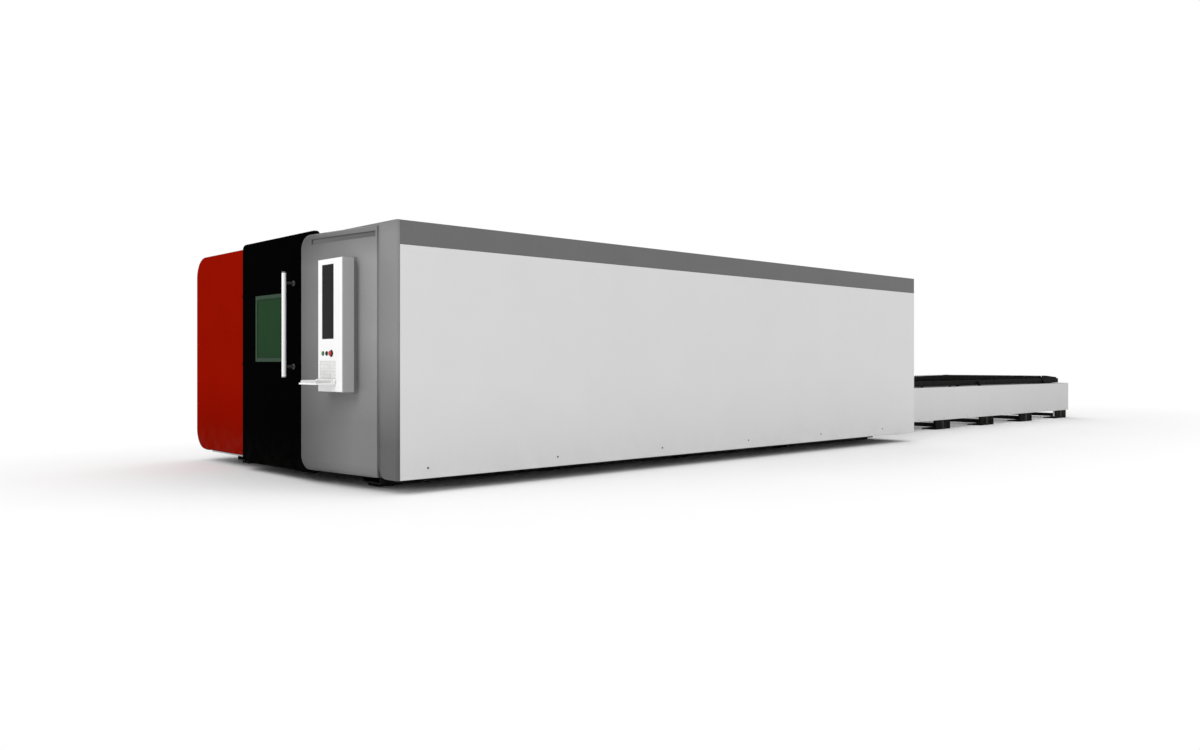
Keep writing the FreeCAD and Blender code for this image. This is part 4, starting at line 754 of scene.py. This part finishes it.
def gantry():
    beam_low, beam_high = low("gantry_beam"), high("gantry_beam")
    cap, margin = 0.005, 0.004
    caps = Piece("beam_end_caps", "frame_black", "gantry", "dark_grey_paint")
    for side, _ in SIDES:
        near, far = sorted((side * beam_high.x, side * (beam_high.x + cap)))
        caps.block((near, beam_low.y + margin, beam_low.z + margin),
                   (far, beam_high.y - margin, beam_high.z - margin), 0.002)
    caps.done()

    rail_low, rail_high = low("cross_rails"), high("cross_rails")
    rail_height = 0.045
    strip = Piece("beam_dust_strip", "matt_black", "gantry", "black_plastic")
    strip.block((rail_low.x, beam_low.y - 0.0016, rail_low.z + rail_height),
                (rail_high.x, beam_low.y + 0.001, rail_high.z - rail_height), 0.0005)
    strip.done()

    plate_low, plate_high = low("gantry_end_carriages"), high("gantry_end_carriages")
    inner, outer, edge = 1.25, 1.39, 0.035
    bolts = Piece("carriage_bolts", "ground_steel", "gantry", "machined_steel")
    places = [(x, y) for x in (inner, outer) for y in (plate_low.y + edge, beam_low.y - edge)]
    places += [(inner, beam_high.y + 0.04), (inner, plate_high.y - 0.03)]
    hex_bolts(bolts, [(side * x, y, plate_high.z) for side, _ in SIDES for x, y in places], "Z")
    bolts.done()

    motor_low, motor_high = low("gantry_motors"), high("gantry_motors")
    width = motor_high.y - motor_low.y
    fins = Piece("gantry_motor_ribs", "matt_black", "gantry", "black_plastic")
    bells = Piece("gantry_motor_bells", "zinc", "gantry", "zinc_plate")
    for side, _ in SIDES:
        near, far = sorted((side * motor_high.x, side * (motor_high.x - width)))
        ribs(fins, (near, motor_low.y, plate_high.z + 0.06), (far, motor_high.y, motor_high.z - 0.03), 6)
        bells.turned(((near + far) / 2, (motor_low.y + motor_high.y) / 2, motor_high.z),
                     [(0.044, 0), (0.044, 0.008), (0.040, 0.013), (0.012, 0.014), (0, 0.014)], "Z", 32)
    fins.done()
    bells.done()


def cutting_head():
    head_low, head_high = low("laser_head"), high("laser_head")
    y = (head_low.y + head_high.y) / 2
    tip, top = head_low.z, head_high.z
    nozzle = Piece("nozzle_tip", "nozzle_copper", "cutting_head", "machined_steel")
    nozzle.turned((0, y, tip), [(0.0012, 0.004), (0.0018, 0), (0.0052, 0), (0.0088, 0.006), (0.0125, 0.0115),
                                (0.0138, 0.0125), (0.0138, 0.016), (0.010, 0.017)], "Z", 32)
    nozzle.done()
    ring = Piece("nozzle_insulator", "ceramic", "cutting_head", "white_paint")
    ring.turned((0, y, tip), [(0.011, 0.0162), (0.0158, 0.0168), (0.0164, 0.0175), (0.0164, 0.0235),
                              (0.0158, 0.0245), (0.013, 0.0248)], "Z", 32)
    ring.done()
    bands = Piece("head_bands", "matt_black", "cutting_head", "black_plastic")
    inner, outer = 0.0445, 0.0466
    for rise in (0.064, 0.160, 0.288):
        bands.turned((0, y, tip + rise), [(inner, 0), (outer, 0.0008), (outer, 0.0072), (inner, 0.008)],
                     "Z", 48)
    bands.block((-0.028, y - 0.0480, tip + 0.088), (0.028, y - 0.036, tip + 0.110), 0.0015)
    bands.turned((0, y, top), [(0.019, 0), (0.019, 0.004), (0.015, 0.006), (0.015, 0.014), (0, 0.014)])
    bands.done()

    case_low, case_high = low("head_carriage"), high("head_carriage")
    screws = Piece("carriage_cover_screws", "screw_steel", "cutting_carriage", "machined_steel")
    for side, axis in SIDES:
        flush_screws(screws, [(side * case_high.x, case_low.y + across, case_low.z + rise)
                              for across in (0.02, 0.14) for rise in (0.03, 0.21, 0.39)], axis, 0.006)
    screws.done()
    motor_half, motor_y = 0.045, case_low.y + 0.0775
    fins = Piece("head_motor_ribs", "matt_black", "cutting_carriage", "black_plastic")
    ribs(fins, (-motor_half, motor_y - motor_half, case_high.z - 0.145),
         (motor_half, motor_y + motor_half, case_high.z - 0.02), 6)
    fins.done()


def chain_links():
    """Bands of the cable chain along its straight run and round its bend."""
    chain_low, chain_high = low("cable_chain"), high("cable_chain")
    bend_radius, height, over, inset, width = 0.095, 0.043, 0.0015, 0.0585, 0.063
    pitch, band = 0.066, 0.012
    left = chain_low.x + inset
    right = left + width
    bend = Vector((0, chain_high.y - bend_radius, chain_high.z - bend_radius))
    bottom = bend.z - bend_radius - over
    top = bottom + height
    links = Piece("chain_links", "frame_black", "machine", "black_plastic")
    for i in range(int((bend.y - chain_low.y) / pitch)):
        y = bend.y - i * pitch
        links.block((left, y - band, bottom + over), (right, y, top))
    for degrees in range(25, 180, 50):
        rolled = Matrix.Rotation(math.radians(degrees), 4, "X")
        links.block((left, bend.y - band / 2, bottom), (right, bend.y + band / 2, top),
                    matrix=Matrix.Translation(bend) @ rolled @ Matrix.Translation(-bend))
    links.done()


def side_bay():
    """Leaves, catches and louvres on the cabinets, joints on the duct, a pull on the first tray."""
    box_low, box_high = low("electrical_cabinet"), high("electrical_cabinet")
    middle = (box_low.y + box_high.y) / 2
    side_gap, end_gap, half_gap, leaf = 0.015, 0.02, 0.002, 0.003
    leaves = Piece("cabinet_leaves", "cabinet_grey", "machine", "mid_grey_paint")
    for start, end in ((box_low.y + side_gap, middle - half_gap),
                       (middle + half_gap, box_high.y - side_gap)):
        leaves.block((box_low.x - leaf, start, box_low.z + end_gap),
                     (box_low.x, end, box_high.z - end_gap), 0.0012)
    leaves.done()
    catches = Piece("cabinet_catches", "matt_black", "machine", "black_plastic")
    catches.block((box_low.x - 0.009, middle + 0.03, box_low.z + 0.70),
                  (box_low.x - leaf, middle + 0.055, box_low.z + 0.85), 0.003)
    catches.done()

    source_low, source_high = low("laser_source"), high("laser_source")
    margin, pitch, slat, proud = 0.15, 0.03, 0.012, 0.004
    louvres = Piece("source_louvres", "tube_grey", "machine", "mid_grey_paint")
    for i in range(12):
        z = source_low.z + 0.12 + i * pitch
        louvres.block((source_low.x - proud, source_low.y + margin, z),
                      (source_low.x, source_high.y - margin, z + slat), 0.0015)
    louvres.done()

    duct_low, duct_high = low("fume_duct"), high("fume_duct")
    duct_height, joint_pitch, joint_length, proud = 0.300, 0.82, 0.030, 0.006
    joints = Piece("duct_flanges", "zinc", "machine", "zinc_plate")
    for i in range(1, 4):
        y = duct_low.y + i * joint_pitch
        joints.frame((duct_low.x - proud, y, duct_low.z + 0.001),
                     (duct_high.x + proud, y + joint_length, duct_low.z + duct_height + proud), 0.008)
    joints.done()

    rise, reach, bar = 0.05, 0.030, 0.18
    tray = low("scrap_trays")
    pull = Piece("scrap_tray_pull", "tube_grey", "machine", "raw_steel")
    pull.turned((-bar / 2, tray.y - reach, tray.z + rise), [(0, 0), (0.006, 0), (0.006, bar), (0, bar)],
                "X", 20)
    for x in (-0.075, 0.075):
        pull.turned((x, tray.y, tray.z + rise), [(0.011, 0), (0.010, 0.003), (0.005, 0.004), (0.005, reach)],
                    "-Y", 20)
    pull.done()


# ------------------------------------------------------------------ pallets and table

def toothed_slats(name, node, body):
    """Finely toothed slats in the places of the node's own slats."""
    count, thickness, teeth, tooth_height = 43, 0.006, 48, 0.028
    first, last = low(node), high(node)
    step = (last.x - first.x) / teeth
    root = last.z - tooth_height
    outline = [(first.x, first.z), (last.x, first.z), (last.x, root)]
    for i in range(teeth):
        right = last.x - i * step
        outline += [(right - step * 0.42, last.z), (right - step * 0.58, last.z), (right - step, root)]
    slats = Piece(name, "burnt_steel", body, "raw_steel")
    for y in spaced(first.y, last.y - thickness, count):
        slats.prism([(x, y, z) for x, z in outline], (0, thickness, 0))
    slats.done(replaces=[node])


def pallet_ends(name, frame_node, slat_node, body):
    """Guards that slope from the last slats to the pallet's end, and rubber buffers on its end face."""
    end, slats = high(frame_node), high(slat_node)
    inset, plate, lap, foot_width, foot_height = 0.040, 0.010, 0.15, 0.024, 0.006
    first, pitch = 0.05, 0.18
    guards = Piece(f"{name}_end_guards", "frame_steel", body, "raw_steel")
    bolts = Piece(f"{name}_guard_bolts", "wheel_steel", body, "machined_steel")
    buffers = Piece(f"{name}_buffers", "seal_rubber", body, "black_plastic")
    for side, _ in SIDES:
        x = side * (end.x - inset)
        guards.prism([(x, slats.y - lap, end.z), (x, end.y - 0.01, end.z),
                      (x, end.y - 0.01, end.z + 0.020),
                      (x, end.y - 0.05, end.z + 0.026), (x, slats.y + 0.01, slats.z),
                      (x, slats.y - lap, slats.z)], (side * plate, 0, 0))
        near, far = sorted((x + side * plate, x + side * (plate + foot_width)))
        guards.block((near, slats.y - 0.02, end.z), (far, end.y - 0.03, end.z + foot_height))
        hex_bolts(bolts, [(x + side * (plate + foot_width / 2), slats.y + first + i * pitch,
                           end.z + foot_height) for i in range(3)], "Z", 0.006, 0.005)
        buffers.turned((side * (end.x - 0.03), end.y, end.z - 0.03),
                       [(0.018, 0), (0.018, 0.010), (0.014, 0.015), (0, 0.016)], "Y")
    guards.done()
    bolts.done()
    buffers.done()


def wheel_hubs(name, node, body, count=1):
    """Hub plates and bolts on the outer faces of the wheels, for each axle along the node."""
    first, last = low(node), high(node)
    radius = (last.z - first.z) / 2
    bolts, bolt_circle, flange, boss = 4, 0.027, 0.0008, 0.0020
    axles = spaced(first.y + radius, last.y - radius, count) if count > 1 else [first.y + radius]
    hubs = Piece(name, "wheel_steel", body, "machined_steel")
    for y in axles:
        for side, axis in SIDES:
            centre = Vector((side * last.x, y, first.z + radius))
            hubs.turned(centre, [(0.036, 0), (0.035, flange), (0.019, flange), (0.018, boss), (0, boss)],
                        axis, 32)
            for i in range(bolts):
                angle = math.tau * (i + 0.5) / bolts
                place = Vector((0, bolt_circle * math.cos(angle), bolt_circle * math.sin(angle)))
                hubs.turned(centre + place, [(0.004, flange), (0.004, boss), (0, boss)], axis, 6)
    hubs.done()


def pallets():
    for name, slats, body in (("top_pallet", "top_slats_toothed", "table_lift"),
                              ("shuttle_pallet", "shuttle_slats_toothed", "shuttle_pallet")):
        toothed_slats(slats, f"{name}_slats", body)
        pallet_ends(name, f"{name}_frame", f"{name}_slats", body)
    for name in ("wheelset_front", "wheelset_middle", "wheelset_rear"):
        wheel_hubs(f"{name}_hubs", name, name)
    wheel_hubs("top_wheel_hubs", "top_pallet_wheelsets", "table_lift", 3)


def table():
    feet_low, feet_high = low("table_feet"), high("table_feet")
    half_length, across, along, plate = 0.240, 0.190, 0.190, 0.020
    bolts = Piece("foot_bolts", "ground_steel", "machine", "machined_steel")
    rows = spaced(feet_low.y + half_length, feet_high.y - half_length, 5)
    hex_bolts(bolts, [(x, y + shift, plate) for y in rows for x in (feet_high.x - across, feet_low.x + across)
                      for shift in (-along, along)], "Z")
    bolts.done()

    cover_low, cover_high = low("table_covers"), high("table_covers")
    first, pitch, rise = 0.2, 0.795, 0.03
    screws = Piece("table_cover_screws", "screw_steel", "machine", "dark_grey_paint")
    for x, axis in ((cover_high.x, "X"), (cover_low.x, "-X")):
        flush_screws(screws, [(x, cover_low.y + first + i * pitch, cover_low.z + rise) for i in range(10)],
                     axis, 0.008)
    screws.done()


def lift():
    """Glands and nuts of the lift cylinders, and the ribs of the shuttle drive's lying motor."""
    tube_low, tube_high = low("lift_cylinders"), high("lift_cylinders")
    rod_high = high("lift_rods")
    tube_radius = 0.014
    glands = Piece("cylinder_glands", "zinc", "machine", "zinc_plate")
    nuts = Piece("rod_nuts", "ground_steel", "table_lift", "machined_steel")
    for x in (tube_low.x + tube_radius, tube_high.x - tube_radius):
        for y in (tube_low.y + tube_radius, tube_high.y - tube_radius):
            glands.turned((x, y, tube_high.z), [(0.0145, -0.022), (0.0158, -0.020), (0.0158, -0.002),
                                                (0.0145, 0), (0.0086, 0)])
            nuts.turned((x, y, rod_high.z), [(0.0079, -0.011), (0.0135, -0.011), (0.0135, -0.002),
                                             (0.012, 0)], "Z", 6)
    glands.done()
    nuts.done()

    drive_low, drive_high = low("shuttle_drive"), high("shuttle_drive")
    pitch, rib, proud = 0.018, 0.008, 0.002
    fins = Piece("drive_motor_ribs", "matt_black", "table_lift", "black_plastic")
    for i in range(6):
        x = drive_low.x + 0.02 + i * pitch
        fins.frame((x, drive_low.y - proud, drive_low.z + 0.015),
                   (x + rib, drive_high.y - 0.001, drive_high.z + proud), proud * 2, axis=X, round_by=0.0008)
    fins.done()


side_walls()
rear_wall()
roof()
door()
console_case()
keys()
buttons()
gantry()
cutting_head()
chain_links()
side_bay()
pallets()
table()
lift()

# ------------------------------------------------------------------ stage, light and camera

def seen_rays(tree):
    """1 for the rays that look at the surround: camera, glossy and transmission rays."""
    paths = tree.nodes.new("ShaderNodeLightPath")
    rays = paths.outputs["Is Camera Ray"]
    for kind in ("Is Glossy Ray", "Is Transmission Ray"):
        either = tree.nodes.new("ShaderNodeMath")
        either.operation = "MAXIMUM"
        tree.links.new(rays, either.inputs[0])
        tree.links.new(paths.outputs[kind], either.inputs[1])
        rays = either.outputs[0]
    return rays


def stage():
    """Pale floor that is seen to brighten into a white surround away from the machine."""
    reach, squeeze_y, white_from, white_to = 80.0, 0.37, 3.1, 5.2
    floor = bpy.data.meshes.new("floor")
    floor.from_pydata([(-reach, -reach, 0), (reach, -reach, 0), (reach, reach, 0), (-reach, reach, 0)],
                      [], [(0, 1, 2, 3)])
    ground = add_object("floor", floor)
    g = Graph("floor_pale")
    g.color(g.mix(g.ramp(g.noise(scale=0.6), *NOISE_SPAN), grey(0.93), grey(0.95)))
    g.rough(g.noise(scale=2.0), 0.7, 0.8)
    g.gloss(0.0)
    glow = g.node("ShaderNodeEmission")
    far = g.node("ShaderNodeVectorMath", operation="LENGTH")
    squeeze = g.node("ShaderNodeMapping")
    squeeze.inputs["Scale"].default_value = (1.0, squeeze_y, 1.0)
    g.join(g.place, squeeze.inputs["Vector"])
    g.join(squeeze.outputs[0], far.inputs[0])
    blend = g.node("ShaderNodeMixShader")
    white = g.times(g.ramp(far.outputs["Value"], white_from, white_to), seen_rays(g.tree))
    g.join(white, blend.inputs[0])
    g.join(g.shader.outputs[0], blend.inputs[1])
    g.join(glow.outputs[0], blend.inputs[2])
    g.join(blend.outputs[0], g.out.inputs["Surface"])
    floor.materials.append(g.material)


def surround():
    """White to look at, and a little less bright as a light."""
    light_level, white = 0.765, (*grey(1.0), 1.0)
    world = bpy.data.worlds.new("studio")
    bpy.context.scene.world = world
    world.use_nodes = True
    tree = world.node_tree
    lit, seen = tree.nodes["Background"], tree.nodes.new("ShaderNodeBackground")
    for background, strength in ((lit, light_level), (seen, 1.0)):
        background.inputs["Strength"].default_value = strength
        background.inputs["Color"].default_value = white
    blend = tree.nodes.new("ShaderNodeMixShader")
    tree.links.new(seen_rays(tree), blend.inputs[0])
    tree.links.new(lit.outputs[0], blend.inputs[1])
    tree.links.new(seen.outputs[0], blend.inputs[2])
    tree.links.new(blend.outputs[0], tree.nodes["World Output"].inputs["Surface"])


def aimed(name, data, place, direction):
    holder = add_object(name, data)
    holder.location = place
    holder.rotation_euler = Vector(direction).to_track_quat("-Z", "Y").to_euler()
    return holder


def lamp(name, place, target, size, power):
    light = bpy.data.lights.new(name, "AREA")
    light.size = size
    light.energy = power
    aimed(name, light, place, Vector(target) - Vector(place))


def camera():
    """The photograph's camera: level, and looking along the machine's front right corner."""
    sensor, focal_pixels, photo_width, shift_pixels = 36.0, 974.0, 1200.0, -12.0
    eye_right, eye_ahead, eye_height, direction = 6.745, 4.105, 1.06, (-0.7302, 0.6832, 0.0)
    lens = bpy.data.cameras.new("camera")
    lens.sensor_width = sensor
    lens.lens = sensor * focal_pixels / photo_width
    lens.shift_y = shift_pixels / photo_width
    lens.clip_end = 200.0
    eye = (high("right_side_panel").x + eye_right, FRONT - eye_ahead, eye_height)
    bpy.context.scene.camera = aimed("camera", lens, eye, direction)


stage()
surround()
lamp("key", place=(4.0, -17.0, 9.0), target=(0.0, -6.0, 1.0), size=8.0, power=700.0)
lamp("side", place=(14.0, 2.0, 9.0), target=(2.0, 0.0, 1.0), size=9.0, power=300.0)
lamp("back", place=(-8.0, 12.0, 9.0), target=(0.0, 3.0, 1.0), size=9.0, power=400.0)
camera()
bpy.context.scene.view_settings.view_transform = "Standard"
